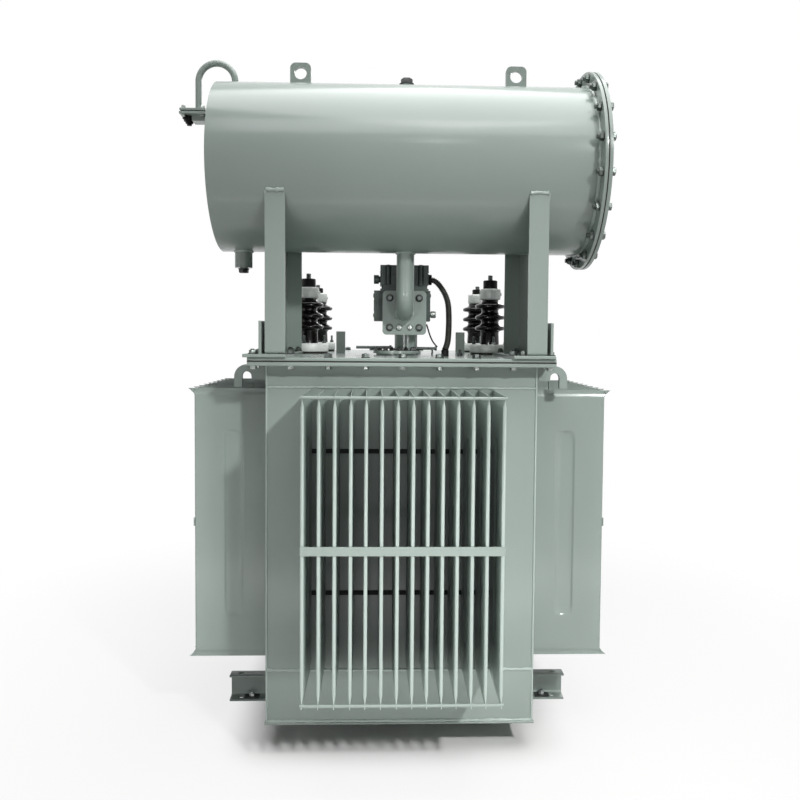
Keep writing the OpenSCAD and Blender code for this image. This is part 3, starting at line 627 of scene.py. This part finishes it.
shell_welds = Piece()
shell_welds.bead(around_shell(flange_low.x - 0.002, shell_r + 0.001, 150), 0.0080, 0.42)
shell_welds.bead(around_shell(shell_low.x + 0.004, shell_r - 0.006, 220), 0.0045, 0.22)
LEFT, RIGHT = (-1, 0, 0), (1, 0, 0)
FLANGE_BOLTS = 18
BOLT_CIRCLE_R = shell_r + 0.0315
FLANGE_WASHER = (0.016, 0.003)
FLANGE_THREAD = 0.018
flange_washers, flange_bolts = Piece(), Piece()
for turn in turns(FLANGE_BOLTS):
    y = shell_y + BOLT_CIRCLE_R * math.sin(turn)
    z = shell_z + BOLT_CIRCLE_R * math.cos(turn)
    bolted(flange_bolts, flange_washers, (flange_low.x, y, z), LEFT, FLANGE_WASHER,
           nut=(FLANGE_THREAD, 0.012), end=(FLANGE_THREAD, 0.010), sides=24)
    bolted(flange_bolts, flange_washers, (blank_high.x, y, z), RIGHT, FLANGE_WASHER,
           nut=(FLANGE_THREAD, 0.011), sides=24)
flange_washers.made("flange_washers", DULL_STEEL)
flange_bolts.made("flange_bolts", WORN_STEEL)

# ---- conservator fittings ---------------------------------------------------
# Two drilled lugs on the crown take the shackles that lift the shell. A hexagon plug closes the
# filler, and a short pot under the left end collects sludge. All are welded on.
dress(ENAMEL, "conservator_lifting_lugs")
dress(ENAMEL, "drain_sump", edge=0.001)
lugs_low, lugs_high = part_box("conservator_lifting_lugs")
crown = shell_high.z
LUG_HALF_W = 0.039
for middle in (lugs_low.x + LUG_HALF_W, lugs_high.x - LUG_HALF_W):
    for y in (lugs_low.y, lugs_high.y):
        run = line((middle - LUG_HALF_W, y, crown), (middle + LUG_HALF_W, y, crown), 0.006)
        shell_welds.bead(run, 0.004, 0.25)


def pipe_seam(x, radius, count):
    """The line round an upright pipe where it meets the shell's underside."""
    points = []
    for turn in full_circle(count):
        y = shell_y + radius * math.sin(turn)
        points.append((x + radius * math.cos(turn), y, under_shell(y)))
    return points


sump_low, sump_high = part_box("drain_sump")
sump_x = (sump_low.x + sump_high.x) / 2
shell_welds.bead(pipe_seam(sump_x, 0.033, 48), 0.005, 0.25)
sump_plug = Piece()
sump_plug.turned((sump_x, shell_y, sump_low.z + 0.015), DOWN,
                 [(0.021, 0), (0.021, 0.003), (0.018, 0.0035)], sides=30)
sump_plug.turned((sump_x, shell_y, sump_low.z + 0.012), DOWN,
                 [(0.0195, 0), (0.0195, 0.011), (0.0165, 0.0135)], sides=6, twist=0.3)
sump_plug.made("sump_plug", DULL_STEEL)

plug_low, plug_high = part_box("filler_plug")
plug_x = (plug_low.x + plug_high.x) / 2
collar = Piece()
collar.turned((plug_x, shell_y, crown - 0.006), UP,
              [(0.034, 0), (0.034, 0.012), (0.031, 0.014), (0.026, 0.016)], sides=40)
collar.made("filler_collar", ENAMEL, slot="enamel", replaces=["filler_plug"])
filler = Piece()
filler.disc((plug_x, shell_y, crown + 0.010), UP, 0.029, 0.005, sides=36)
filler.turned((plug_x, shell_y, crown + 0.015), UP,
              [(0.0225, 0), (0.0225, 0.017), (0.0200, 0.0205)], sides=6, twist=0.2)
filler.made("filler_hexagon", DULL_STEEL)

# ---- breather ---------------------------------------------------------------
# A pipe arches out of the crown and comes down outside the shell to a square flange on a
# bracket. A second flange below, bolted up over a joint, is stopped by a black stepped plug.
dress(ENAMEL, "breather_pipe")
dress(ENAMEL, "breather_flanges", edge=0.0012)


def mottled_finish(name, dark, pale, patch, grain, rough, depth, **more):
    """Two tones in patches, under a grain that gives relief and takes roughness up and down."""
    finish = Finish(name)
    patches = finish.noise(*patch).between(0.3, 0.7)
    grains = finish.noise(*grain)
    smoothest, roughest = rough
    return finish.done(finish.skin(
        Base_Color=finish.blend(patches, dark, pale),
        Roughness=grains * (roughest - smoothest) + smoothest,
        Normal=finish.relief(grains, depth), **more))


BLACK_PLASTIC = mottled_finish(
    "black_plastic", tone(14, 14, 15), tone(24, 24, 24), patch=(0.01, 3.0), grain=(0.0012, 2.0),
    rough=(0.36, 0.56), depth=0.0001, Specular_IOR_Level=0.15)
dress(BLACK_PLASTIC, "breather_plug", edge=0.001)
pad_low, pad_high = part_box("breather_flanges")
PAD_W = 0.100
PAD_BOLT_IN = 0.014
PADS_T = 0.022               # both flanges and the joint between them
plate_top = pad_high.z
breather_bolts = Piece()
for x in (pad_low.x + PAD_BOLT_IN, pad_low.x + PAD_W - PAD_BOLT_IN):
    for y in (pad_low.y + PAD_BOLT_IN, pad_high.y - PAD_BOLT_IN):
        bolted(breather_bolts, breather_bolts, (x, y, plate_top), UP,
               washer=(0.011, 0.002), nut=(0.010, 0.010))
        breather_bolts.nut((x, y, plate_top - PADS_T), DOWN, 0.010, 0.008)
breather_bolts.made("breather_bolts", ZINC)
arch_low, arch_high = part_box("breather_pipe")
ARCH_R = 0.0125
y = (arch_low.y + arch_high.y) / 2
for x, z in ((arch_low.x + ARCH_R, plate_top), (arch_high.x - ARCH_R, crown - 0.006)):
    shell_welds.bead([(x + ARCH_R * math.cos(turn), y + ARCH_R * math.sin(turn), z)
                      for turn in full_circle(30)], 0.003, 0.2)

# ---- pipes to the relay -----------------------------------------------------
# A pipe drops from the shell and turns into the relay's front flange; a wider one leaves its
# rear flange and stands on the cover. The square flanges are bolted at their corners.
dress(ENAMEL, "conservator_pipe", "relay_riser")
pipe_low, pipe_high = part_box("conservator_pipe")
riser_low, riser_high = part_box("relay_riser")
PIPE_FLANGE_T = 0.012
CORNER = 0.0585              # from the pipe's line to its flange bolts, in X and in Z
pipe_x = (pipe_low.x + pipe_high.x) / 2
flange_z = pipe_low.z + 0.087      # the line on which both flanges face the relay
front_face = pipe_high.y - PIPE_FLANGE_T
rear_face = riser_low.y + PIPE_FLANGE_T
pipe_washers, pipe_bolts, pipe_plugs = Piece(), Piece(), Piece()
for x in (pipe_x - CORNER, pipe_x + CORNER):
    for z in (flange_z - CORNER, flange_z + CORNER):
        for y, way in ((front_face, -1), (rear_face, 1)):
            pipe_washers.turned((x, y, z), (0, way, 0),
                                [(0.0150, 0), (0.0150, 0.003), (0.0135, 0.0035)], sides=24)
            pipe_bolts.nut((x, y + way * 0.0035, z), (0, way, 0), 0.0115, 0.008)
pipe_washers.made("pipe_flange_washers", DULL_STEEL)
pipe_bolts.made("pipe_flange_bolts", WORN_STEEL)
for x, size in ((-0.021, 0.0125), (0.022, 0.0110)):
    pipe_plugs.turned((pipe_x + x, front_face, flange_z - CORNER), (0, -1, 0),
                      [(size, 0), (size, 0.003), (0.8 * size, 0.006), (0.3 * size, 0.0075)],
                      sides=20)
pipe_plugs.made("pipe_flange_plugs", ZINC)
PIPE_R = 0.034
shell_welds.bead(pipe_seam(pipe_x, PIPE_R, 40), 0.005, 0.25)
shell_welds.bead([(pipe_x + PIPE_R * math.cos(turn), front_face,
                   flange_z + PIPE_R * math.sin(turn)) for turn in full_circle(40)], 0.0045, 0.2)
shell_welds.made("conservator_welds", HIGHLIGHT_PALE_WELD_ENAMEL, slot="enamel", sharp=60)

# ---- gas relay --------------------------------------------------------------
# An iron casting sprayed dark green-grey, with a window housing on each side and a terminal box
# on top. Screws hold the lid, and a bright plug on the right drains it.
CASTING = mottled_finish(
    "sprayed_casting", tone(50, 63, 58), tone(70, 84, 78), patch=(0.05, 2.0),
    grain=(0.0035, 4.0), rough=(0.32, 0.57), depth=0.0006)
dress(CASTING, "relay_body", "relay_head", edge=0.002)
body_low, body_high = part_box("relay_body")
head_low, head_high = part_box("relay_head")
BOX_HALF_W = 0.097           # the terminal box, half across and half deep
BOX_HALF_D = 0.0765
box_y = (head_low.y + head_high.y) / 2
relay_trim = Piece()
lid_seam, box_ledge = (head_low.z + 0.078, 0.003), (head_low.z + 0.029, 0.0025)
for z, thick in (lid_seam, box_ledge):
    relay_trim.slab((pipe_x - BOX_HALF_W - 0.001, head_low.y + 0.0085, z),
                    (pipe_x + BOX_HALF_W + 0.001, head_high.y - 0.0085, z + thick))
BOX_RIB_HALF = 0.0015
for x in (-0.083, -0.047, 0.047, 0.083):
    relay_trim.slab((pipe_x + x - BOX_RIB_HALF, box_y - BOX_HALF_D, head_low.z + 0.032),
                    (pipe_x + x + BOX_RIB_HALF, box_y + BOX_HALF_D, head_low.z + 0.070))
for side, edge in ((-1, body_low.x), (1, body_high.x)):
    for y in (-0.345, -0.302, -0.259):
        for z in (body_low.z + 0.075, body_low.z + 0.155):
            relay_trim.nut((edge, y, z), (side, 0, 0), 0.008, 0.003)
relay_trim.made("relay_ribs", CASTING, slot="dark_casting")

relay_screws = Piece()
for x in (-0.065, 0.065):
    for y in (-0.071, 0.071):
        relay_screws.turned((pipe_x + x, box_y + y, head_high.z), UP,
                            [(0.007, -0.002), (0.007, 0.001), (0.005, 0.0015)], sides=20)
relay_screws.made("relay_screws", DULL_STEEL)

GLAND_Y = -0.330             # the line of the glands, of the drain plug and of the wire's end
relay_plug = Piece()
relay_plug.turned((body_high.x - 0.002, GLAND_Y, flange_z - 0.004), RIGHT,
                  [(0.011, 0), (0.011, 0.005), (0.0145, 0.006), (0.0145, 0.023),
                   (0.0125, 0.026)], sides=24)
relay_plug.made("relay_drain_plug", ZINC)

glass = Finish("window_glass")
shade = glass.noise(0.05).between(0.3, 0.7)
GLASS = glass.done(glass.skin(
    Base_Color=glass.blend(shade, tone(58, 50, 34), tone(92, 80, 52)),
    Roughness=glass.noise(0.02) * 0.06 + 0.04))
PANE_T = 0.005
windows = Piece()
for x in (body_low.x - 0.001, body_high.x + 0.001 - PANE_T):
    windows.slab((x, -0.338, body_low.z + 0.092), (x + PANE_T, -0.266, body_low.z + 0.138))
windows.made("relay_windows", GLASS)

# ---- conduit and glands -----------------------------------------------------
# A ribbed plastic conduit carries the relay's wires down to a stub on the cover. A gland nut
# holds it at the box, and a blind gland closes the entry on the other side.
dress(BLACK_PLASTIC, "conduit_glands", edge=0.0012)
CURVE_STEPS = 8              # points from one stop to the next


def curve(stops):
    """Points on a smooth curve through all the stops."""
    points = []
    last = len(stops) - 1
    for i in range(last):
        a, b, c, d = (Vector(stops[min(max(j, 0), last)]) for j in (i - 1, i, i + 1, i + 2))
        for k in range(CURVE_STEPS):
            s = k / CURVE_STEPS
            points.append(0.5 * (2 * b + (c - a) * s + (2 * a - 5 * b + 4 * c - d) * s * s
                                 + (3 * b - a - 3 * c + d) * s ** 3))
    return points + [Vector(stops[-1])]


def along_curve(points, step):
    """The same curve as points an even step apart."""
    laid = [points[0]]
    left = step
    for a, b in zip(points, points[1:]):
        gap = (b - a).length
        while left <= gap:
            laid.append(a.lerp(b, left / gap))
            left += step
        left -= gap
    return laid


def run_length(points):
    return sum((b - a).length for a, b in zip(points, points[1:]))


def hose(piece, points, radii, sides):
    """A tube along the points, its radius given at each of them."""
    rings = []
    for i, point in enumerate(points):
        ahead = (points[min(i + 1, len(points) - 1)] - points[max(i - 1, 0)]).normalized()
        side = ahead.cross(Vector((0, 1, 0.2))).normalized()
        rings.append(circle(point, radii[i], side, ahead.cross(side), sides))
    piece.loft(rings)


CON_X, GLAND_Z = 0.014, 1.754
RIB_STEP, RIB_R, GROOVE_R = 0.0018, 0.0121, 0.0094
conduit_stops = [(CON_X + x, GLAND_Y - y, GLAND_Z - z) for x, y, z in (
    (0.111, 0, -0.001), (0.133, 0.003, 0.011), (0.154, 0.010, 0.038), (0.168, 0.016, 0.065),
    (0.177, 0.026, 0.098), (0.179, 0.044, 0.143), (0.177, 0.070, 0.196), (0.171, 0.102, 0.247),
    (0.159, 0.126, 0.282))]
conduit_path = along_curve(curve(conduit_stops), RIB_STEP)
ribs = [RIB_R if k % 4 < 2 else GROOVE_R for k in range(len(conduit_path))]
RIBBED = mottled_finish(
    "ribbed_plastic", tone(32, 33, 30), tone(58, 58, 52), patch=(0.01, 3.0), grain=(0.01, 3.0),
    rough=(0.35, 0.55), depth=0.0002)
conduit = Piece()
hose(conduit, conduit_path, ribs, 20)
conduit = conduit.made("ribbed_conduit", RIBBED, slot="conduit", replaces=["signal_conduit"])
conduit_route = along_curve(curve(conduit_stops), 0.015) + [Vector(conduit_stops[-1])]
conduit_length = run_length(conduit_route)

# ---- earth wire -------------------------------------------------------------
# A thin copper wire in a black sleeve runs from the relay's body down to the bar beside the
# handhole.
RELAY_Z = 1.618
WIRE_R = 0.003
wire_stops = [(CON_X + x, GLAND_Y + y, RELAY_Z - z) for x, y, z in (
    (0.092, 0, 0.044), (0.098, 0.004, 0.062), (0.108, 0.020, 0.090), (0.122, 0.045, 0.116),
    (0.140, 0.068, 0.136))]
wire_path = along_curve(curve(wire_stops), 0.004) + [Vector(wire_stops[-1])]
wire = Piece()
hose(wire, wire_path, [WIRE_R] * len(wire_path), 12)
wire = wire.made("earth_wire", BLACK_PLASTIC, slot="conduit", replaces=["signal_wire"])
wire_length = run_length(wire_path)

# ---- bushings ---------------------------------------------------------------
# Four glazed porcelain bushings stand in cast clamps that studs hold down on the cover. A round
# cast cap grips each head, under a black insulated nut on the stud.
glaze = Finish("brown_black_glaze")
flow = glaze.noise(0.02, 2.0)
PORCELAIN = glaze.done(glaze.skin(
    Base_Color=glaze.blend(flow.between(0.3, 0.7), tone(11, 9, 9), tone(22, 17, 16)),
    Specular_IOR_Level=0.35, Roughness=flow * 0.06 + 0.07,
    Normal=glaze.relief(glaze.noise(0.012, 1.0), 0.0004)))
ALLOY = mottled_finish(
    "cast_alloy", tone(222, 226, 223), tone(234, 236, 233), patch=(0.02, 3.0),
    grain=(0.002, 3.0), rough=(0.38, 0.58), depth=0.0003, Metallic=0.1)

SHEDS = (0.115, 0.162, 0.210)      # how high the sheds' rims are above the cover
CAP = [(0.030, 0.236), (0.040, 0.237), (0.0440, 0.240), (0.0450, 0.244),
       (0.0450, 0.277), (0.0435, 0.282), (0.0390, 0.284), (0.020, 0.2845)]
CLAMP_R = 0.086
STUD_CIRCLE_R = 0.070
STUD_SEAT = 0.0435


def insulator(foot_r, shed_r):
    """The outline of an insulator: a stem that tapers up, and sheds with rounded rims."""
    outline = [(foot_r, 0.036)]
    for rim in SHEDS:
        stem = foot_r * (1 - 0.16 * (rim - 0.044) / 0.194)
        outline += [(stem, rim - 0.021), (stem + 0.003, rim - 0.014),
                    (shed_r - 0.014, rim - 0.011), (shed_r - 0.005, rim - 0.010),
                    (shed_r - 0.0015, rim - 0.006), (shed_r, rim - 0.001),
                    (shed_r - 0.0015, rim + 0.004), (shed_r - 0.007, rim + 0.008),
                    (stem + 0.012, rim + 0.011), (stem + 0.003, rim + 0.015),
                    (stem, rim + 0.020)]
    return outline + [(foot_r * 0.84, 0.239)]


def clamp_ring(foot_r):
    """The outline of a clamp, from its foot up its rim and down into the insulator's seat."""
    return [(0.084, 0.009), (CLAMP_R, 0.012), (CLAMP_R, 0.038), (0.0835, 0.0425),
            (0.079, 0.044), (foot_r + 0.006, 0.044), (foot_r + 0.002, 0.041),
            (foot_r + 0.0015, 0.030)]


def knob(radius, height):
    """The outline of an insulated nut, its edges a little rounded."""
    return [(0.93 * radius, 0), (radius, 0.002), (radius, height - 0.004),
            (0.94 * radius, height - 0.001), (0.80 * radius, height)]


clamps_low, clamps_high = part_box("bushing_clamps")
cap_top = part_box("bushing_caps")[1].z
bushing_x = clamps_high.x - CLAMP_R
# A pair's line in Y, the radii of its stems, sheds and knobs, and the heights of knob and stud.
front_pair = (clamps_low.y + CLAMP_R, 0.041, 0.064, 0.0305, 0.037, 0.022)
rear_pair = (clamps_high.y - CLAMP_R, 0.049, 0.071, 0.0250, 0.025, 0.015)
porcelain, caps, clamps = Piece(), Piece(), Piece()
knobs, tips, studs = Piece(), Piece(), Piece()
for y, foot_r, shed_r, knob_r, knob_h, stud_h in (front_pair, rear_pair):
    for x, set_round in ((-bushing_x, -0.17), (bushing_x, 0.10)):
        seat = (x, y, cover_top)
        porcelain.turned(seat, UP, insulator(foot_r, shed_r), sides=56)
        caps.turned(seat, UP, CAP, sides=48)
        caps.disc((x + 0.043, y, cover_top + 0.262), RIGHT, 0.007, 0.006, sides=16)
        clamps.turned(seat, UP, clamp_ring(foot_r), sides=56)
        knobs.turned((x, y, cap_top), UP, knob(knob_r, knob_h), sides=36)
        tips.thread((x, y, cap_top + knob_h), UP, 0.021, stud_h)
        for turn in turns(4):
            turn += set_round
            hold = (x + STUD_CIRCLE_R * math.cos(turn), y + STUD_CIRCLE_R * math.sin(turn),
                    cover_top + STUD_SEAT)
            bolted(studs, studs, hold, UP,
                   washer=(0.012, 0.002), nut=(0.010, 0.009), end=(0.010, 0.024))
porcelain.made("glazed_insulators", PORCELAIN, slot="porcelain",
               replaces=["bushing_insulators"], sharp=60)
caps.made("cast_caps", ALLOY, slot="clamp", replaces=["bushing_caps"], sharp=50)
clamps.made("cast_clamps", ALLOY, slot="clamp", replaces=["bushing_clamps"], sharp=50)
knobs.made("insulated_nuts", BLACK_PLASTIC, slot="terminal", replaces=["bushing_terminals"],
           sharp=40)
tips.made("terminal_studs", WORN_STEEL)
studs.made("clamp_studs", WORN_STEEL)

# ---- fittings on the cover --------------------------------------------------
# Two upright plates lift the cover. A round plate closes the handhole and bars press it down,
# with studs and nuts round it and one stud beside the conduit's foot.
dress(ENAMEL, "cover_lugs", "handhole_cover", edge=0.0012)
dress(WORN_STEEL, "handhole_clamps")
hatch_low, hatch_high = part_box("handhole_cover")
hatch_x = (hatch_low.x + hatch_high.x) / 2
hatch_y = (hatch_low.y + hatch_high.y) / 2
riser_x, riser_y = riser_high.x - 0.073, riser_high.y - 0.065
HATCH_CIRCLE_R, RISER_CIRCLE_R = 0.078, 0.057
LONE_STUD = (0.235, -0.42)
hatch_nuts = Piece()
for turn in turns(8, 0.25):
    x = hatch_x + HATCH_CIRCLE_R * math.cos(turn)
    y = hatch_y + HATCH_CIRCLE_R * math.sin(turn)
    bolted(hatch_nuts, hatch_nuts, (x, y, hatch_high.z), UP,
           washer=(0.012, 0.002), nut=(0.010, 0.008), end=(0.010, 0.006))
for turn in turns(6, 0.5):
    x = riser_x + RISER_CIRCLE_R * math.cos(turn)
    y = riser_y + RISER_CIRCLE_R * math.sin(turn)
    hatch_nuts.nut((x, y, riser_low.z + 0.014), UP, 0.010, 0.009)
hatch_nuts.disc((*LONE_STUD, cover_top), UP, 0.013, 0.0025)
hatch_nuts.nut((*LONE_STUD, cover_top + 0.0025), UP, 0.012, 0.010)
hatch_nuts.thread((*LONE_STUD, cover_top + 0.012), UP, 0.012, 0.014)
hatch_nuts.made("handhole_nuts", DULL_STEEL)

# ---- studio -----------------------------------------------------------------
# The part stands on a plain pale floor that runs out to white. Two wide panels hang overhead, with
# high spots in front and on the right and a panel behind; narrow spots reach between the fins and
# under the conservator, and weak panels on the left and near the floor fill the shade.
FLOOR_HALF = 60
SHADE_X, SHADE_Y = 0.44, 0.62      # half the size of the patch of floor in the tank's shade
floor_mesh = bpy.data.meshes.new("floor")
floor_mesh.from_pydata([(x * FLOOR_HALF, y * FLOOR_HALF, 0)
                        for x, y in ((-1, -1), (1, -1), (1, 1), (-1, 1))], [], [(0, 1, 2, 3)])
floor = bpy.data.objects.new("floor", floor_mesh)
bpy.context.collection.objects.link(floor)


def looked_at(finish):
    """1 for what the eye sees straight, in a shiny surface or through glass, 0 for the rest."""
    camera_ray, glossy_ray, clear_ray = (
        finish.node("LightPath", output=f"Is {kind} Ray")
        for kind in ("Camera", "Glossy", "Transmission"))
    return camera_ray.maths("MAXIMUM", glossy_ray).maths("MAXIMUM", clear_ray)


paper = Finish("white_paper")
out_x = (paper.axis("X").maths("ABSOLUTE") - SHADE_X).maths("MAXIMUM", 0.0)
out_y = (paper.axis("Y").maths("ABSOLUTE") - SHADE_Y).maths("MAXIMUM", 0.0)
away = (out_x * out_x + out_y * out_y).maths("SQRT")
fade = away.between(0.0, 0.26) * 0.80 + away.between(0.2, 2.2) * 0.20
matt = paper.node("BsdfDiffuse", inputs={"Color": (0.80, 0.79, 0.78, 1)})
glow = paper.node("Emission", inputs={"Color": (1, 1, 1, 1), "Strength": 1.0})
floor_mesh.materials.append(paper.done(paper.node(
    "MixShader", inputs={0: fade * looked_at(paper), 1: matt, 2: glow})))

ROOM_LIGHT = 0.06                  # what the white surroundings add to the lamps' light
room = Finish("studio", bpy.data.worlds)
brightness = looked_at(room) * (1 - ROOM_LIGHT) + ROOM_LIGHT
sky = room.node("Background", inputs={"Color": (1, 1, 1, 1), "Strength": brightness})
bpy.context.scene.world = room.done(sky, "OutputWorld")


def lamp(name, place, target, power, size=None, cone=None):
    """A soft panel of that size, or a spot whose light falls off across a cone of that angle."""
    light = bpy.data.lights.new(name, "SPOT" if cone else "AREA")
    light.energy = power
    if cone:
        light.spot_size = math.radians(cone)
        light.spot_blend = 1.0
        light.shadow_soft_size = 0.2
    else:
        light.shape = "RECTANGLE"
        light.size, light.size_y = size
    holder = bpy.data.objects.new(name, light)
    holder.location = place
    way = Vector(target) - Vector(place)
    holder.rotation_euler = way.to_track_quat("-Z", "Y").to_euler()
    bpy.context.collection.objects.link(holder)


lamp("overhead", (0.4, -0.7, 5.2), (0.2, -0.5, 1.6), 190, size=(3.8, 4.0))
lamp("overhead_front", (0.4, -3.4, 5.2), (0.2, -0.6, 1.6), 52, size=(3.8, 1.4))
lamp("high_right", (2.65, -5.15, 4.37), (0.1, -0.8, 0.25), 1060, cone=42)
lamp("high_front", (0.55, -6.9, 5.6), (0, -0.5, 0.6), 35, cone=36)
lamp("high_rear", (1.9, 4.6, 3.9), (0, 0.2, 1.4), 50, size=(2.0, 1.0))
lamp("left_side", (-4.2, -3.0, 2.2), (-0.3, -0.4, 0.6), 8, size=(2.0, 2.0))
lamp("left_foot", (-2.6, -2.6, 0.5), (-0.5, -0.6, 0.1), 3, size=(1.2, 0.6))
lamp("right_fins", (2.3, -4.0, 0.6), (0.02, -1.0, 0.72), 215, cone=24)
lamp("left_fins", (-1.9, -3.4, 0.3), (0.08, -1.0, 0.66), 120, cone=21)
lamp("low_front", (0, -2.2, 0.04), (0, -0.8, 0.3), 5, size=(3.4, 0.3))
lamp("under_left", (-1.3, -3.9, 1.55), (0.28, -0.1, 1.60), 100, cone=12)
lamp("under_right", (1.3, -3.9, 1.55), (-0.28, -0.1, 1.60), 100, cone=12)

EYE_PLACE = (-0.063, -3.589, 1.529)
EYE_YAW, EYE_PITCH, EYE_ROLL = math.radians(1.8), math.radians(2.6), math.radians(0.45)
eye = bpy.data.cameras.new("camera")
eye.lens = 36
eye.sensor_width = 36
eye.shift_x = -0.01225
eye.shift_y = -0.0355
camera = bpy.data.objects.new("camera", eye)
aim = Matrix.Rotation(-EYE_YAW, 4, "Z") @ Matrix.Rotation(math.pi / 2 - EYE_PITCH, 4, "X")
camera.matrix_world = Matrix.Translation(EYE_PLACE) @ aim @ Matrix.Rotation(EYE_ROLL, 4, "Z")
bpy.context.collection.objects.link(camera)
bpy.context.scene.camera = camera
bpy.context.scene.view_settings.view_transform = "Standard"
